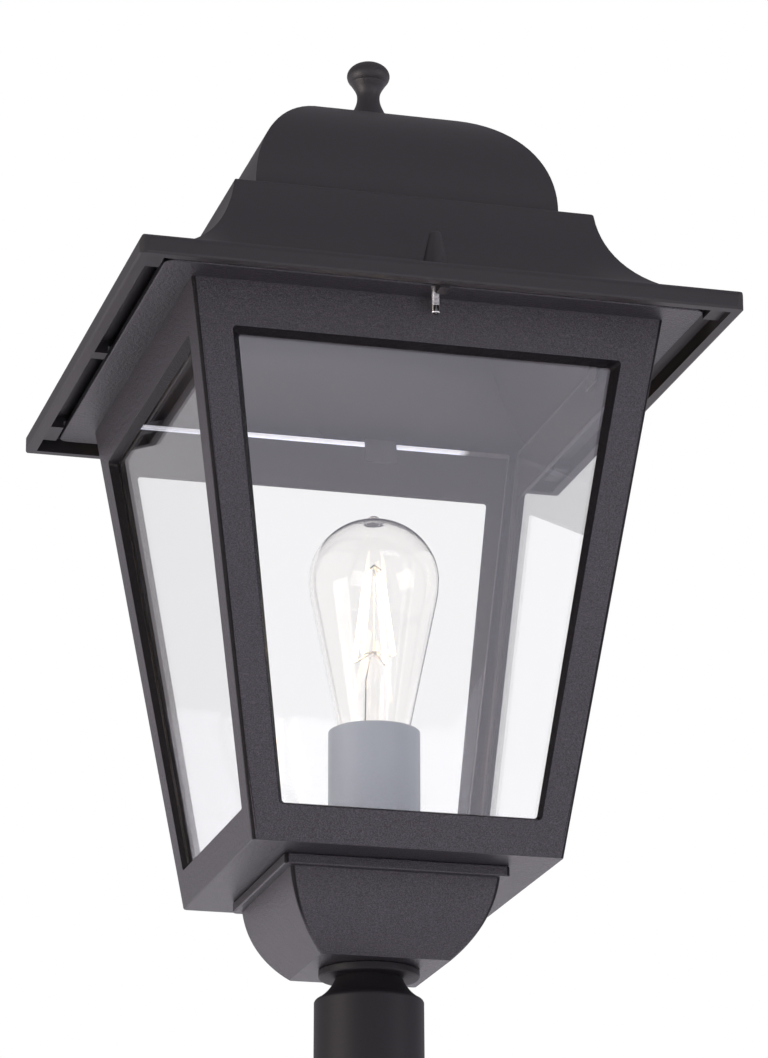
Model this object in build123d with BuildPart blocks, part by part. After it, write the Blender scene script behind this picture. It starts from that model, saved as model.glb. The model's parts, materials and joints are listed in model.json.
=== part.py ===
from build123d import *
from math import acos, cos, degrees, radians, sin, sqrt
import os

# Post top lantern. Millimetres, +Z up, front faces -Y.
# The origin is on the axis, at the mouth of the socket that slips over the post.

# ---------------------------------------------------------------- heights
COLLAR_TOP = 88.2          # underside of the collar's disc
DISC_T = 4.0
CUP_BOTTOM = COLLAR_TOP + DISC_T
CUP_H = 37.1
PLINTH_BOTTOM = CUP_BOTTOM + CUP_H
PLINTH_T = 5.2
BODY_BOTTOM = PLINTH_BOTTOM + PLINTH_T
BODY_H = 260.5
FLANGE_Z = BODY_BOTTOM + BODY_H     # underside of the body's top flange
FLANGE_T = 3.0
FLOOR_T = 4.0
FLOOR_Z = BODY_BOTTOM + FLOOR_T

# ---------------------------------------------------------------- body, half widths of squares
BODY_TOP_HALF = 116.9
BODY_BOTTOM_HALF = 75.6
FLANGE_HALF = 133.0
FLANGE_R = 5.0
CORNER_R = 2.5
WALL_TOP = 4.05            # level thickness of the wall at the flange
WALL_BOTTOM = 2.25         # and at the floor's underside
FACE_SLOPE = (BODY_TOP_HALF - BODY_BOTTOM_HALF) / BODY_H
CAVITY_TOP_HALF = BODY_TOP_HALF - WALL_TOP
CAVITY_BOTTOM_HALF = BODY_BOTTOM_HALF - WALL_BOTTOM
CAVITY_SLOPE = (CAVITY_TOP_HALF - CAVITY_BOTTOM_HALF) / BODY_H

# window: depth of its edges below the flange, and half widths there
WINDOW_TOP, WINDOW_TOP_HALF = 22.0, 96.2
WINDOW_BOTTOM, WINDOW_BOTTOM_HALF = 243.2, 63.7
SIGHT_TOP, SIGHT_TOP_HALF = 24.4, 92.4
SIGHT_BOTTOM, SIGHT_BOTTOM_HALF = 242.2, 61.9
WINDOW_R = 1.5
CAST_EDGE_R = 0.8          # rounding of the cast edges
WINDOW_EDGE_R = 0.7

# panes
SEAL_T = 0.6
PANE_T = 4.0
PANE_RISE = 4.6            # top edge above the flange's underside
PANE_FOOT = 256.3          # lower edge below the flange's underside
PANE_SIDE_GAP = 11.5       # pane's side edge to the neighbouring face
CLIP_X = 34.5
CLIP_W = 17.0
CLIP_T = 1.2
CLIP_SCREW_Y = 123.0
CLIP_HOLE_DEPTH = 2.2      # blind, from the flange's top

# ---------------------------------------------------------------- roof
EAVE_HALF = 148.0
EAVE_DROP = 3.0            # the rim hangs this far below the flange's underside
RIM_LIP = 5.5
RIM_PLAN_R = 4.0
RIM_EDGE_R = 3.6
LIP_EDGE_R = 1.2
ROOF_T = 3.0
COVE_CENTRE, COVE_RISE, COVE_R = 154.0, 70.0, 63.7
LEDGE_RISE = 63.2
LEDGE_EDGE_R = 2.0
DOME_HALF = 77.0
DOME_FLAT = 5.8
DOME_SPRING = 68.3
DOME_H = 68.0
DOME_A = DOME_HALF - DOME_FLAT
SEAT_R = 14.5
STUD_R = 3.0
REST_GAP = 0.05

# roof screws, in the front and back bosses
BOSS_Y = 125.0
BOSS_BASE_R, BOSS_TOP_R, BOSS_TOP_RISE = 9.4, 2.7, 30.6
BOSS_INNER_R = 7.0
ROOF_SCREW_R = 1.95
ROOF_HOLE_R = 2.02
ROOF_HEAD_R, ROOF_HEAD_H = 2.3, 3.4
ROOF_SCREW_DROP = 11.0
ROOF_SCREW_RISE = 24.0

# ---------------------------------------------------------------- cup and collar
PLINTH_HALF = 55.2
CUP_TOP_HALF = 51.4
CUP_MID_HALF, CUP_MID_DROP = 46.3, 18.3
CUP_BOTTOM_HALF = 31.9
CUP_INNER_TOP_HALF = 39.5
CUP_INNER_BOTTOM_HALF = 27.0
CUP_FLOOR_T = 4.0
CUP_SCREW_XY = 45.6
DISC_R = 24.4
NECK_R = 16.2
COVETTO_MID_R, COVETTO_MID_Z = 19.3, 82.8
COVETTO_END_R, COVETTO_END_Z = 24.9, 77.9
SLEEVE_R = 26.5
SLEEVE_EDGE_R = 1.8
SOCKET_R = 21.4
SOCKET_DEPTH = 48.0        # the post's end meets a shoulder here
POCKET_R = 12.0            # pocket above the shoulder, round the tube's nut
POCKET_TOP = 60.0
POST_SCREW_Z = 22.0
POST_SCREW_R = 3.0
POST_SCREW_L = 8.0
POST_SCREW_ANGLES = (30, 150, 270)

# hollow clamp tube, M10
TUBE_R, TUBE_BORE_R = 5.0, 4.0
TUBE_BOTTOM, TUBE_TOP = 50.0, 106.0
TUBE_NUT_AF, TUBE_NUT_H = 17.0, 5.0
WASHER_R, WASHER_T = 10.0, 1.5

# ---------------------------------------------------------------- lampholder and bulb
LAMP_X = 2.2               # the holder stands this far to the right of the post's axis
HOLDER_R, HOLDER_WALL = 22.5, 1.5
HOLDER_BOTTOM = FLANGE_Z - 246.0
HOLDER_TOP = FLANGE_Z - 184.0
CORE_TOP = HOLDER_TOP - 9.0
CORE_FOOT = HOLDER_BOTTOM + 11.0
CORE_BORE_R = 14.4
CORE_BORE_Z = CORE_FOOT + 10.0
THREAD_R, THREAD_T = 14.4, 0.5
PILLAR_R = 8.0
BRACKET_W, BRACKET_T = 24.0, 2.0
BRACKET_SPAN, BRACKET_FOOT = 48.0, 15.0
BULB_TIP = FLANGE_Z - 73.0
BULB_L = 143.5
BULB_CAP_TIP = BULB_TIP - BULB_L
BULB_R = 32.2
BULB_EQUATOR = FLANGE_Z - 106.0
BULB_APEX = FLANGE_Z - 75.5
BULB_GLASS_T = 0.9
CAP_R = 13.3
CAP_TOP = BULB_CAP_TIP + 26.0

# ---------------------------------------------------------------- terminals
BLOCK_X, BLOCK_L, BLOCK_W, BLOCK_H = -51.0, 34.0, 14.0, 13.0
EARTH_X, EARTH_Y = -47.0, 30.0
LEAD_R = 1.1
CABLE_HOLE_X, CABLE_HOLE_R = -27.0, 8.0
SMALL_GAP = 0.02           # shank to hole, within one rigid body

SIDES = {"front": 0, "right": 90, "back": 180, "left": 270}

os.makedirs("parts", exist_ok=True)


# ---------------------------------------------------------------- helpers
def write(shape, name):
    """Label one piece and write it under its own name."""
    shape.label = name
    export_step(shape, f"parts/{name}.step")


def wall_plane(turn, half, slope):
    """Plane of a leaning wall: x across, y up the slope, z out of the lantern, origin at the flange."""
    outward = Vector(sin(radians(turn)), -cos(radians(turn)), 0)
    across = Vector(cos(radians(turn)), sin(radians(turn)), 0)
    normal = outward - Vector(0, 0, slope)
    return Plane(origin=outward * half + Vector(0, 0, FLANGE_Z), x_dir=across, z_dir=normal)


def up_slope(drop, slope):
    """Distance along a leaning wall for a drop below the flange."""
    return -drop * sqrt(1 + slope**2)


def leaning_trapezoid(slope, top, top_half, bottom, bottom_half):
    """Corners of a symmetrical window or pane on a leaning wall."""
    high, low = up_slope(top, slope), up_slope(bottom, slope)
    return [(-bottom_half, low), (bottom_half, low), (top_half, high), (-top_half, high)]


def rim_edges(builder, z, beyond):
    """Edges at one height that lie further from the axis than a half width."""
    def wanted(edge):
        middle = edge.center()
        return abs(middle.Z - z) < 0.01 and max(abs(middle.X), abs(middle.Y)) > beyond
    return builder.edges().filter_by(wanted)


def square_plan(section, reach):
    """Solid whose plan is a square at every height, from its section in local x and height."""
    with BuildPart() as solid:
        with BuildSketch(Plane.XZ):
            add(section)
        extrude(amount=reach, both=True)
        with BuildSketch(Plane.YZ):
            add(section)
        extrude(amount=reach, both=True, mode=Mode.INTERSECT)
    return solid.part


def pan_screw(shank_r, length, head_r, head_h):
    """Pan head screw pointing down, the underside of its head at z = 0, with a cross recess."""
    with BuildPart() as screw:
        with BuildSketch(Plane.XY):
            Circle(head_r)
        extrude(amount=head_h)
        fillet(screw.faces().sort_by(Axis.Z)[-1].edges(), head_h * 0.6)
        with BuildSketch(Plane.XY):
            Circle(shank_r)
        extrude(amount=-length)
        with BuildSketch(Plane.XY.offset(head_h)):
            Rectangle(head_r * 1.1, head_r * 0.28)
            Rectangle(head_r * 0.28, head_r * 1.1)
        extrude(amount=-head_h * 0.6, mode=Mode.SUBTRACT)
    return screw.part


def hex_nut(across_flats, height, bore_r):
    """Hexagonal nut standing on z = 0."""
    with BuildPart() as nut:
        with BuildSketch(Plane.XY):
            RegularPolygon(across_flats / 2, 6, major_radius=False)
            Circle(bore_r, mode=Mode.SUBTRACT)
        extrude(amount=height)
    return nut.part


def ring(outer_r, inner_r, z, height, x=0.0):
    """Plain ring standing on height z."""
    with BuildPart() as washer:
        with BuildSketch(Plane((x, 0, z))):
            Circle(outer_r)
            Circle(inner_r, mode=Mode.SUBTRACT)
        extrude(amount=height)
    return washer.part


# ---------------------------------------------------------------- lantern body
def cavity_half(drop):
    """Half width of the body's inside at a drop below the flange."""
    return CAVITY_TOP_HALF - CAVITY_SLOPE * drop


def on_window_outline(edge):
    """True for an edge of a window where it opens in the body's outer faces."""
    for point in (edge @ 0, edge @ 0.5, edge @ 1):
        drop = FLANGE_Z - point.Z
        off_face = max(abs(point.X), abs(point.Y)) - (BODY_TOP_HALF - FACE_SLOPE * drop)
        if abs(off_face) > 0.05 or not WINDOW_TOP - 5 < drop < WINDOW_BOTTOM + 5:
            return False
    return True


CUP_SCREW_PLACES = [(sx * CUP_SCREW_XY, sy * CUP_SCREW_XY) for sx in (-1, 1) for sy in (-1, 1)]
BRACKET_SCREW_Y = BRACKET_SPAN / 2 + BRACKET_FOOT * 0.55
BRACKET_SCREW_PLACES = [(LAMP_X, -BRACKET_SCREW_Y), (LAMP_X, BRACKET_SCREW_Y)]
BLOCK_SCREW_PLACES = [(BLOCK_X, -BLOCK_L * 0.17), (BLOCK_X, BLOCK_L * 0.17)]

with BuildPart() as lantern_body:
    with BuildSketch(Plane.XY.offset(BODY_BOTTOM)):
        RectangleRounded(2 * BODY_BOTTOM_HALF, 2 * BODY_BOTTOM_HALF, CORNER_R)
    with BuildSketch(Plane.XY.offset(FLANGE_Z)):
        RectangleRounded(2 * BODY_TOP_HALF, 2 * BODY_TOP_HALF, CORNER_R)
    loft()
    with BuildSketch(Plane.XY.offset(FLANGE_Z)):
        RectangleRounded(2 * FLANGE_HALF, 2 * FLANGE_HALF, FLANGE_R)
    extrude(amount=FLANGE_T)
    fillet(rim_edges(lantern_body, FLANGE_Z, BODY_TOP_HALF + 5), CAST_EDGE_R)
    fillet(rim_edges(lantern_body, BODY_BOTTOM, BODY_BOTTOM_HALF - 5), CAST_EDGE_R)
    # inside, from the floor to above the flange
    with BuildSketch(Plane.XY.offset(FLOOR_Z)):
        Rectangle(2 * cavity_half(BODY_H - FLOOR_T), 2 * cavity_half(BODY_H - FLOOR_T))
    with BuildSketch(Plane.XY.offset(FLANGE_Z + 2 * FLANGE_T)):
        Rectangle(2 * cavity_half(-2 * FLANGE_T), 2 * cavity_half(-2 * FLANGE_T))
    loft(mode=Mode.SUBTRACT)
    # windows, bevelled from the face to the glass
    for turn in SIDES.values():
        face = wall_plane(turn, BODY_TOP_HALF, FACE_SLOPE)
        inside = wall_plane(turn, CAVITY_TOP_HALF, CAVITY_SLOPE)
        with BuildSketch(face) as window_outline:
            Polygon(*leaning_trapezoid(FACE_SLOPE, WINDOW_TOP, WINDOW_TOP_HALF,
                                       WINDOW_BOTTOM, WINDOW_BOTTOM_HALF), align=None)
            fillet(window_outline.vertices(), WINDOW_R)
        with BuildSketch(inside) as sight_outline:
            Polygon(*leaning_trapezoid(CAVITY_SLOPE, SIGHT_TOP, SIGHT_TOP_HALF,
                                       SIGHT_BOTTOM, SIGHT_BOTTOM_HALF), align=None)
            fillet(sight_outline.vertices(), WINDOW_R)
        loft(mode=Mode.SUBTRACT)
    fillet(lantern_body.edges().filter_by(on_window_outline), WINDOW_EDGE_R)
    # through holes for the roof screws, blind ones for the clip screws
    with BuildSketch(Plane.XY.offset(FLANGE_Z)):
        with Locations((0, -BOSS_Y), (0, BOSS_Y)):
            Circle(ROOF_HOLE_R)
    extrude(amount=FLANGE_T, mode=Mode.SUBTRACT)
    with BuildSketch(Plane.XY.offset(FLANGE_Z + FLANGE_T)):
        for turn in SIDES.values():
            with Locations(Vector(-CLIP_X, -CLIP_SCREW_Y).rotate(Axis.Z, turn)):
                Circle(1.5)
    extrude(amount=-CLIP_HOLE_DEPTH, mode=Mode.SUBTRACT)
    # holes in the floor
    with BuildSketch(Plane.XY.offset(BODY_BOTTOM)):
        with Locations((CABLE_HOLE_X, 0)):
            Circle(CABLE_HOLE_R)
        with Locations(*CUP_SCREW_PLACES):
            Circle(2.2)
        with Locations(*BRACKET_SCREW_PLACES):
            Circle(2.0)
        with Locations(*BLOCK_SCREW_PLACES):
            Circle(1.5)
        with Locations((EARTH_X, EARTH_Y)):
            Circle(2.0)
    extrude(amount=FLOOR_T, mode=Mode.SUBTRACT)
write(lantern_body.part, "lantern_body")

# ---------------------------------------------------------------- panes and their seals
def pane_half(drop):
    """Half width of a pane at a drop below the flange."""
    return BODY_TOP_HALF - FACE_SLOPE * drop - PANE_SIDE_GAP


PANE_OUTLINE = leaning_trapezoid(CAVITY_SLOPE, -PANE_RISE, pane_half(-PANE_RISE),
                                 PANE_FOOT, pane_half(PANE_FOOT))
SIGHT_OUTLINE = leaning_trapezoid(CAVITY_SLOPE, SIGHT_TOP - 1, SIGHT_TOP_HALF + 1,
                                  SIGHT_BOTTOM + 1, SIGHT_BOTTOM_HALF + 1)

for side, turn in SIDES.items():
    wall = wall_plane(turn, CAVITY_TOP_HALF, CAVITY_SLOPE)
    with BuildPart() as pane:
        with BuildSketch(wall.offset(-SEAL_T)):
            Polygon(*PANE_OUTLINE, align=None)
        extrude(amount=-PANE_T)
        chamfer(pane.edges().filter_by(GeomType.LINE), 0.3)
    write(pane.part, f"pane_{side}")
    with BuildPart() as seal:
        with BuildSketch(wall):
            Polygon(*PANE_OUTLINE, align=None)
            Polygon(*SIGHT_OUTLINE, align=None, mode=Mode.SUBTRACT)
        extrude(amount=-SEAL_T)
    write(seal.part, f"seal_{side}")

# spring clips: a leg on the flange, a step over the pane's edge and a tongue on its inner face
PANE_BACK_Y = CAVITY_TOP_HALF - (SEAL_T + PANE_T) * sqrt(1 + CAVITY_SLOPE**2)
CLIP_OVER = FLANGE_Z + PANE_RISE + 0.8
CLIP_TONGUE = 12.0
TONGUE_LEAN = CAVITY_SLOPE * (CLIP_TONGUE + PANE_RISE + 0.8)
TONGUE_Y = PANE_BACK_Y + CAVITY_SLOPE * (PANE_RISE + 0.8) - 0.3
LEG_Y = cavity_half(-FLANGE_T) + 1.0
CLIP_PROFILE = [
    (-CLIP_SCREW_Y - 4.5, FLANGE_Z + FLANGE_T),
    (-CLIP_SCREW_Y - 4.5, FLANGE_Z + FLANGE_T + CLIP_T),
    (-LEG_Y - CLIP_T, FLANGE_Z + FLANGE_T + CLIP_T),
    (-LEG_Y - CLIP_T, CLIP_OVER + CLIP_T),
    (-TONGUE_Y + CLIP_T, CLIP_OVER + CLIP_T),
    (-TONGUE_Y + CLIP_T + TONGUE_LEAN, CLIP_OVER - CLIP_TONGUE),
    (-TONGUE_Y + TONGUE_LEAN, CLIP_OVER - CLIP_TONGUE),
    (-TONGUE_Y, CLIP_OVER),
    (-LEG_Y, CLIP_OVER),
    (-LEG_Y, FLANGE_Z + FLANGE_T),
]
with BuildPart() as one_clip:
    with BuildSketch(Plane.YZ.offset(-CLIP_X - CLIP_W / 2)):
        Polygon(*CLIP_PROFILE, align=None)
    extrude(amount=CLIP_W)
    with BuildSketch(Plane.XY.offset(FLANGE_Z + FLANGE_T)):
        with Locations((-CLIP_X, -CLIP_SCREW_Y)):
            Circle(1.6)
    extrude(amount=CLIP_T, mode=Mode.SUBTRACT)

CLIP_HEAD_Z = FLANGE_Z + FLANGE_T + CLIP_T
clip_screw = pan_screw(1.5 - SMALL_GAP, CLIP_T + CLIP_HOLE_DEPTH - 0.2, 2.8, 1.8)

with BuildPart() as pane_clips:
    for turn in SIDES.values():
        add(one_clip.part.rotate(Axis.Z, turn))
write(pane_clips.part, "pane_clips")

with BuildPart() as clip_screws:
    for turn in SIDES.values():
        with Locations(Vector(-CLIP_X, -CLIP_SCREW_Y, CLIP_HEAD_Z).rotate(Axis.Z, turn)):
            add(clip_screw)
write(clip_screws.part, "clip_screws")


# ---------------------------------------------------------------- roof
def cove_half(rise, inset=0.0):
    """Half width of the cove's surface at a height above the flange's underside."""
    return COVE_CENTRE - sqrt((COVE_R + inset) ** 2 - (COVE_RISE - rise) ** 2)


def cove_rise(half, inset=0.0):
    """Height of the cove's surface above the flange's underside at a half width."""
    return COVE_RISE - sqrt((COVE_R + inset) ** 2 - (COVE_CENTRE - half) ** 2)


def at(half, rise):
    """Point of the roof's section, from its height above the flange's underside."""
    return (half, FLANGE_Z + rise)


RIM_TOP_HALF = EAVE_HALF - RIM_EDGE_R
RIM_TOP_RISE = cove_rise(RIM_TOP_HALF)
COVE_TOP_RISE = LEDGE_RISE - LEDGE_EDGE_R
COVE_TOP_HALF = cove_half(COVE_TOP_RISE)
LEDGE_HALF = COVE_TOP_HALF - LEDGE_EDGE_R
DIAGONAL = sqrt(0.5)

with BuildSketch() as roof_outside:
    with BuildLine():
        Polyline(at(0, -EAVE_DROP), at(EAVE_HALF - LIP_EDGE_R, -EAVE_DROP))
        RadiusArc(at(EAVE_HALF - LIP_EDGE_R, -EAVE_DROP), at(EAVE_HALF, -EAVE_DROP + LIP_EDGE_R), -LIP_EDGE_R)
        Line(at(EAVE_HALF, -EAVE_DROP + LIP_EDGE_R), at(EAVE_HALF, RIM_TOP_RISE - RIM_EDGE_R))
        RadiusArc(at(EAVE_HALF, RIM_TOP_RISE - RIM_EDGE_R), at(RIM_TOP_HALF, RIM_TOP_RISE), -RIM_EDGE_R)
        ThreePointArc(at(RIM_TOP_HALF, RIM_TOP_RISE), at(cove_half(30), 30), at(COVE_TOP_HALF, COVE_TOP_RISE))
        RadiusArc(at(COVE_TOP_HALF, COVE_TOP_RISE), at(LEDGE_HALF, LEDGE_RISE), -LEDGE_EDGE_R)
        Polyline(at(LEDGE_HALF, LEDGE_RISE), at(DOME_HALF, LEDGE_RISE), at(DOME_HALF, DOME_SPRING))
        EllipticalCenterArc(at(DOME_FLAT, DOME_SPRING), DOME_A, DOME_H, start_angle=0, arc_size=90)
        Polyline(at(DOME_FLAT, DOME_SPRING + DOME_H), at(0, DOME_SPRING + DOME_H), at(0, -EAVE_DROP))
    make_face()
    mirror(about=Plane.YZ)

INNER_HALF = EAVE_HALF - RIM_LIP
INNER_LEDGE = LEDGE_RISE - ROOF_T
INNER_DOME_HALF = DOME_HALF - ROOF_T
BELOW_EAVE = -EAVE_DROP - 1

with BuildSketch() as roof_inside:
    with BuildLine():
        Polyline(at(0, BELOW_EAVE), at(INNER_HALF, BELOW_EAVE), at(INNER_HALF, cove_rise(INNER_HALF, ROOF_T)))
        ThreePointArc(at(INNER_HALF, cove_rise(INNER_HALF, ROOF_T)), at(cove_half(30, ROOF_T), 30),
                      at(cove_half(INNER_LEDGE, ROOF_T), INNER_LEDGE))
        Polyline(at(cove_half(INNER_LEDGE, ROOF_T), INNER_LEDGE), at(INNER_DOME_HALF, INNER_LEDGE),
                 at(INNER_DOME_HALF, DOME_SPRING))
        EllipticalCenterArc(at(DOME_FLAT, DOME_SPRING), DOME_A - ROOF_T, DOME_H - ROOF_T,
                            start_angle=0, arc_size=90)
        Polyline(at(DOME_FLAT, DOME_SPRING + DOME_H - ROOF_T), at(0, DOME_SPRING + DOME_H - ROOF_T),
                 at(0, BELOW_EAVE))
    make_face()
    mirror(about=Plane.YZ)

roof_block = square_plan(roof_outside.sketch, EAVE_HALF)
roof_void = square_plan(roof_inside.sketch, EAVE_HALF)

# locating tabs between the rim and the flange: (lowest y, highest y, drop) on the left and right sides
TAB_IN = FLANGE_HALF + 1.5
SHELF_IN = 126.0
SIDE_TABS = ((-142.5, -124.0), (-4.5, 4.5), (110.0, 131.0))
TAB_FOOT = -0.5
NOSE_W, NOSE_DROP, NOSE_IN = 5.0, 4.4, FLANGE_HALF + 0.6
TAB_TOP = 40.0

with BuildPart() as roof_hollow:
    add(roof_void)
    for y_low, y_high in SIDE_TABS:
        middle, length = (y_low + y_high) / 2, y_high - y_low
        with BuildSketch(Plane.XY.offset(FLANGE_Z + TAB_FOOT)):
            with Locations((-(TAB_IN + EAVE_HALF) / 2, middle), ((TAB_IN + EAVE_HALF) / 2, middle)):
                Rectangle(EAVE_HALF - TAB_IN, length)
        extrude(amount=TAB_TOP, mode=Mode.SUBTRACT)
        with BuildSketch(Plane.XY.offset(FLANGE_Z + FLANGE_T + REST_GAP)):
            with Locations((-(SHELF_IN + EAVE_HALF) / 2, middle), ((SHELF_IN + EAVE_HALF) / 2, middle)):
                Rectangle(EAVE_HALF - SHELF_IN, length)
        extrude(amount=TAB_TOP, mode=Mode.SUBTRACT)
    with BuildSketch(Plane.XY.offset(FLANGE_Z + FLANGE_T + REST_GAP)):
        with Locations((0, -BOSS_Y), (0, BOSS_Y)):
            Circle(BOSS_INNER_R)
    extrude(amount=TAB_TOP, mode=Mode.SUBTRACT)
    with BuildSketch(Plane.XY.offset(FLANGE_Z - NOSE_DROP)):
        with Locations((0, -(NOSE_IN + EAVE_HALF) / 2), (0, (NOSE_IN + EAVE_HALF) / 2)):
            Rectangle(NOSE_W, EAVE_HALF - NOSE_IN)
    extrude(amount=TAB_TOP, mode=Mode.SUBTRACT)

# the noses reach below the rim, so they are also added as solid
with BuildPart() as roof:
    add(roof_block)
    with BuildSketch(Plane.XY.offset(FLANGE_Z - EAVE_DROP)):
        RectangleRounded(2 * EAVE_HALF, 2 * EAVE_HALF, RIM_PLAN_R)
    extrude(amount=DOME_SPRING + DOME_H + EAVE_DROP, mode=Mode.INTERSECT)
    # cone bosses over the roof screws
    for side in (-1, 1):
        with BuildSketch(Plane((0, side * BOSS_Y, FLANGE_Z))):
            Circle(BOSS_BASE_R)
        with BuildSketch(Plane((0, side * BOSS_Y, FLANGE_Z + BOSS_TOP_RISE))):
            Circle(BOSS_TOP_R)
        loft()
    fillet(roof.edges().filter_by(GeomType.CIRCLE).group_by(Axis.Z)[-1], 1.6)
    # seat of the finial
    with BuildSketch(Plane.XY.offset(FLANGE_Z + DOME_SPRING + DOME_H - 4)):
        Circle(SEAT_R)
    extrude(amount=4)
    add(roof_hollow.part, mode=Mode.SUBTRACT)
    with BuildSketch(Plane.XY.offset(FLANGE_Z - NOSE_DROP)):
        with Locations((0, -(NOSE_IN + INNER_HALF) / 2), (0, (NOSE_IN + INNER_HALF) / 2)):
            Rectangle(NOSE_W, INNER_HALF - NOSE_IN)
    extrude(amount=NOSE_DROP + FLANGE_T)
    # screw holes from below, and the finial's hole
    with BuildSketch(Plane.XY.offset(FLANGE_Z)):
        with Locations((0, -BOSS_Y), (0, BOSS_Y)):
            Circle(ROOF_HOLE_R)
    extrude(amount=ROOF_SCREW_RISE + 1.0, mode=Mode.SUBTRACT)
    with BuildSketch(Plane.XY.offset(FLANGE_Z + DOME_SPRING)):
        Circle(STUD_R + 0.08)
    extrude(amount=DOME_H + 5, mode=Mode.SUBTRACT)
write(roof.part, "roof")

# ---------------------------------------------------------------- finial, its washer and nut
DOME_TOP = FLANGE_Z + DOME_SPRING + DOME_H
FINIAL_FOOT = DOME_TOP + 0.2
STUD_END = DOME_TOP - 19.0
KNOB_Z, KNOB_R, KNOB_HALF_H = FLANGE_Z + 165.4, 11.0, 7.4
KNOB_LOW_ANGLE = -34.0

with BuildPart() as finial:
    with BuildSketch(Plane.XZ):
        with BuildLine():
            Polyline((0, STUD_END), (STUD_R, STUD_END), (STUD_R, FINIAL_FOOT), (SEAT_R, FINIAL_FOOT),
                     (SEAT_R, FINIAL_FOOT + 1.0))
            knob = EllipticalCenterArc((0, KNOB_Z), KNOB_R, KNOB_HALF_H, start_angle=KNOB_LOW_ANGLE,
                                       arc_size=89 - KNOB_LOW_ANGLE)
            Spline((SEAT_R, FINIAL_FOOT + 1.0), (10.3, FLANGE_Z + 141.2), (7.3, FLANGE_Z + 147.0),
                   (6.2, FLANGE_Z + 150.0), (5.8, FLANGE_Z + 153.2), (6.1, FLANGE_Z + 155.6),
                   (7.4, FLANGE_Z + 158.5), knob @ 0, tangents=((-1, 0.25), (1, 1.8)))
            Polyline(knob @ 1, (0, (knob @ 1).Y), (0, STUD_END))
        make_face()
    revolve(axis=Axis.Z)
write(finial.part, "finial")

INNER_TOP = DOME_TOP - ROOF_T - 0.4
with BuildPart() as finial_washer:
    add(ring(9.0, STUD_R + 0.2, INNER_TOP - WASHER_T, WASHER_T))
write(finial_washer.part, "finial_washer")

with BuildPart() as finial_nut:
    with Locations((0, 0, INNER_TOP - WASHER_T - 5.0)):
        add(hex_nut(10.0, 5.0, STUD_R + SMALL_GAP))
write(finial_nut.part, "finial_nut")

# ---------------------------------------------------------------- roof screws: long shank, slim socket head
for side, y in (("front", -BOSS_Y), ("back", BOSS_Y)):
    with BuildPart() as roof_screw:
        with BuildSketch(Plane((0, y, FLANGE_Z - ROOF_SCREW_DROP))):
            Circle(ROOF_HEAD_R)
        extrude(amount=ROOF_HEAD_H)
        with BuildSketch(Plane((0, y, FLANGE_Z - ROOF_SCREW_DROP))):
            Circle(ROOF_SCREW_R)
        extrude(amount=ROOF_SCREW_DROP + ROOF_SCREW_RISE)
        chamfer(roof_screw.edges().filter_by(GeomType.CIRCLE).group_by(Axis.Z)[-1], 0.5)
        fillet(roof_screw.edges().filter_by(GeomType.CIRCLE).group_by(Axis.Z)[0], 0.4)
        with BuildSketch(Plane((0, y, FLANGE_Z - ROOF_SCREW_DROP))):
            RegularPolygon(1.25, 6, major_radius=False)
        extrude(amount=2.2, mode=Mode.SUBTRACT)
    write(roof_screw.part, f"roof_screw_{side}")

# ---------------------------------------------------------------- base cup with its plinth
with BuildSketch() as cup_section:
    with BuildLine():
        Polyline((0, CUP_BOTTOM), (CUP_BOTTOM_HALF, CUP_BOTTOM))
        ThreePointArc((CUP_BOTTOM_HALF, CUP_BOTTOM), (CUP_MID_HALF, PLINTH_BOTTOM - CUP_MID_DROP),
                      (CUP_TOP_HALF, PLINTH_BOTTOM))
        Polyline((CUP_TOP_HALF, PLINTH_BOTTOM), (0, PLINTH_BOTTOM), (0, CUP_BOTTOM))
    make_face()
    mirror(about=Plane.YZ)
cup_block = square_plan(cup_section.sketch, CUP_TOP_HALF + 1)
CUP_CORNER_R = 2.5


def on_cup_corner(edge):
    """True for the curved edge where two sides of the cup meet."""
    middle = edge @ 0.5
    return abs(abs(middle.X) - abs(middle.Y)) < 0.1 and abs((edge @ 0).Z - (edge @ 1).Z) > 10



with BuildPart() as base_cup:
    add(cup_block)
    fillet(base_cup.edges().filter_by(on_cup_corner), CUP_CORNER_R)
    with BuildSketch(Plane.XY.offset(PLINTH_BOTTOM)):
        RectangleRounded(2 * PLINTH_HALF, 2 * PLINTH_HALF, 2.5)
    extrude(amount=PLINTH_T)
    fillet(rim_edges(base_cup, PLINTH_BOTTOM, CUP_TOP_HALF + 1), CAST_EDGE_R)
    chamfer(base_cup.faces().sort_by(Axis.Z)[-1].outer_wire().edges(), 0.6)
    with BuildSketch(Plane.XY.offset(CUP_BOTTOM + CUP_FLOOR_T)):
        RectangleRounded(2 * CUP_INNER_BOTTOM_HALF, 2 * CUP_INNER_BOTTOM_HALF, 4)
    with BuildSketch(Plane.XY.offset(BODY_BOTTOM)):
        RectangleRounded(2 * CUP_INNER_TOP_HALF, 2 * CUP_INNER_TOP_HALF, 4)
    loft(mode=Mode.SUBTRACT)
    with BuildSketch(Plane.XY.offset(BODY_BOTTOM)):
        with Locations(*CUP_SCREW_PLACES):
            Circle(2.0)
    extrude(amount=-13.0, mode=Mode.SUBTRACT)
    with BuildSketch(Plane.XY.offset(CUP_BOTTOM)):
        Circle(TUBE_R + SMALL_GAP)
    extrude(amount=CUP_FLOOR_T, mode=Mode.SUBTRACT)
write(base_cup.part, "base_cup")

cup_screw = pan_screw(2.0 - SMALL_GAP, 16.0, 4.0, 2.6)
with BuildPart() as cup_screws:
    for x, y in CUP_SCREW_PLACES:
        with Locations((x, y, FLOOR_Z)):
            add(cup_screw)
write(cup_screws.part, "cup_screws")

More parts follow.
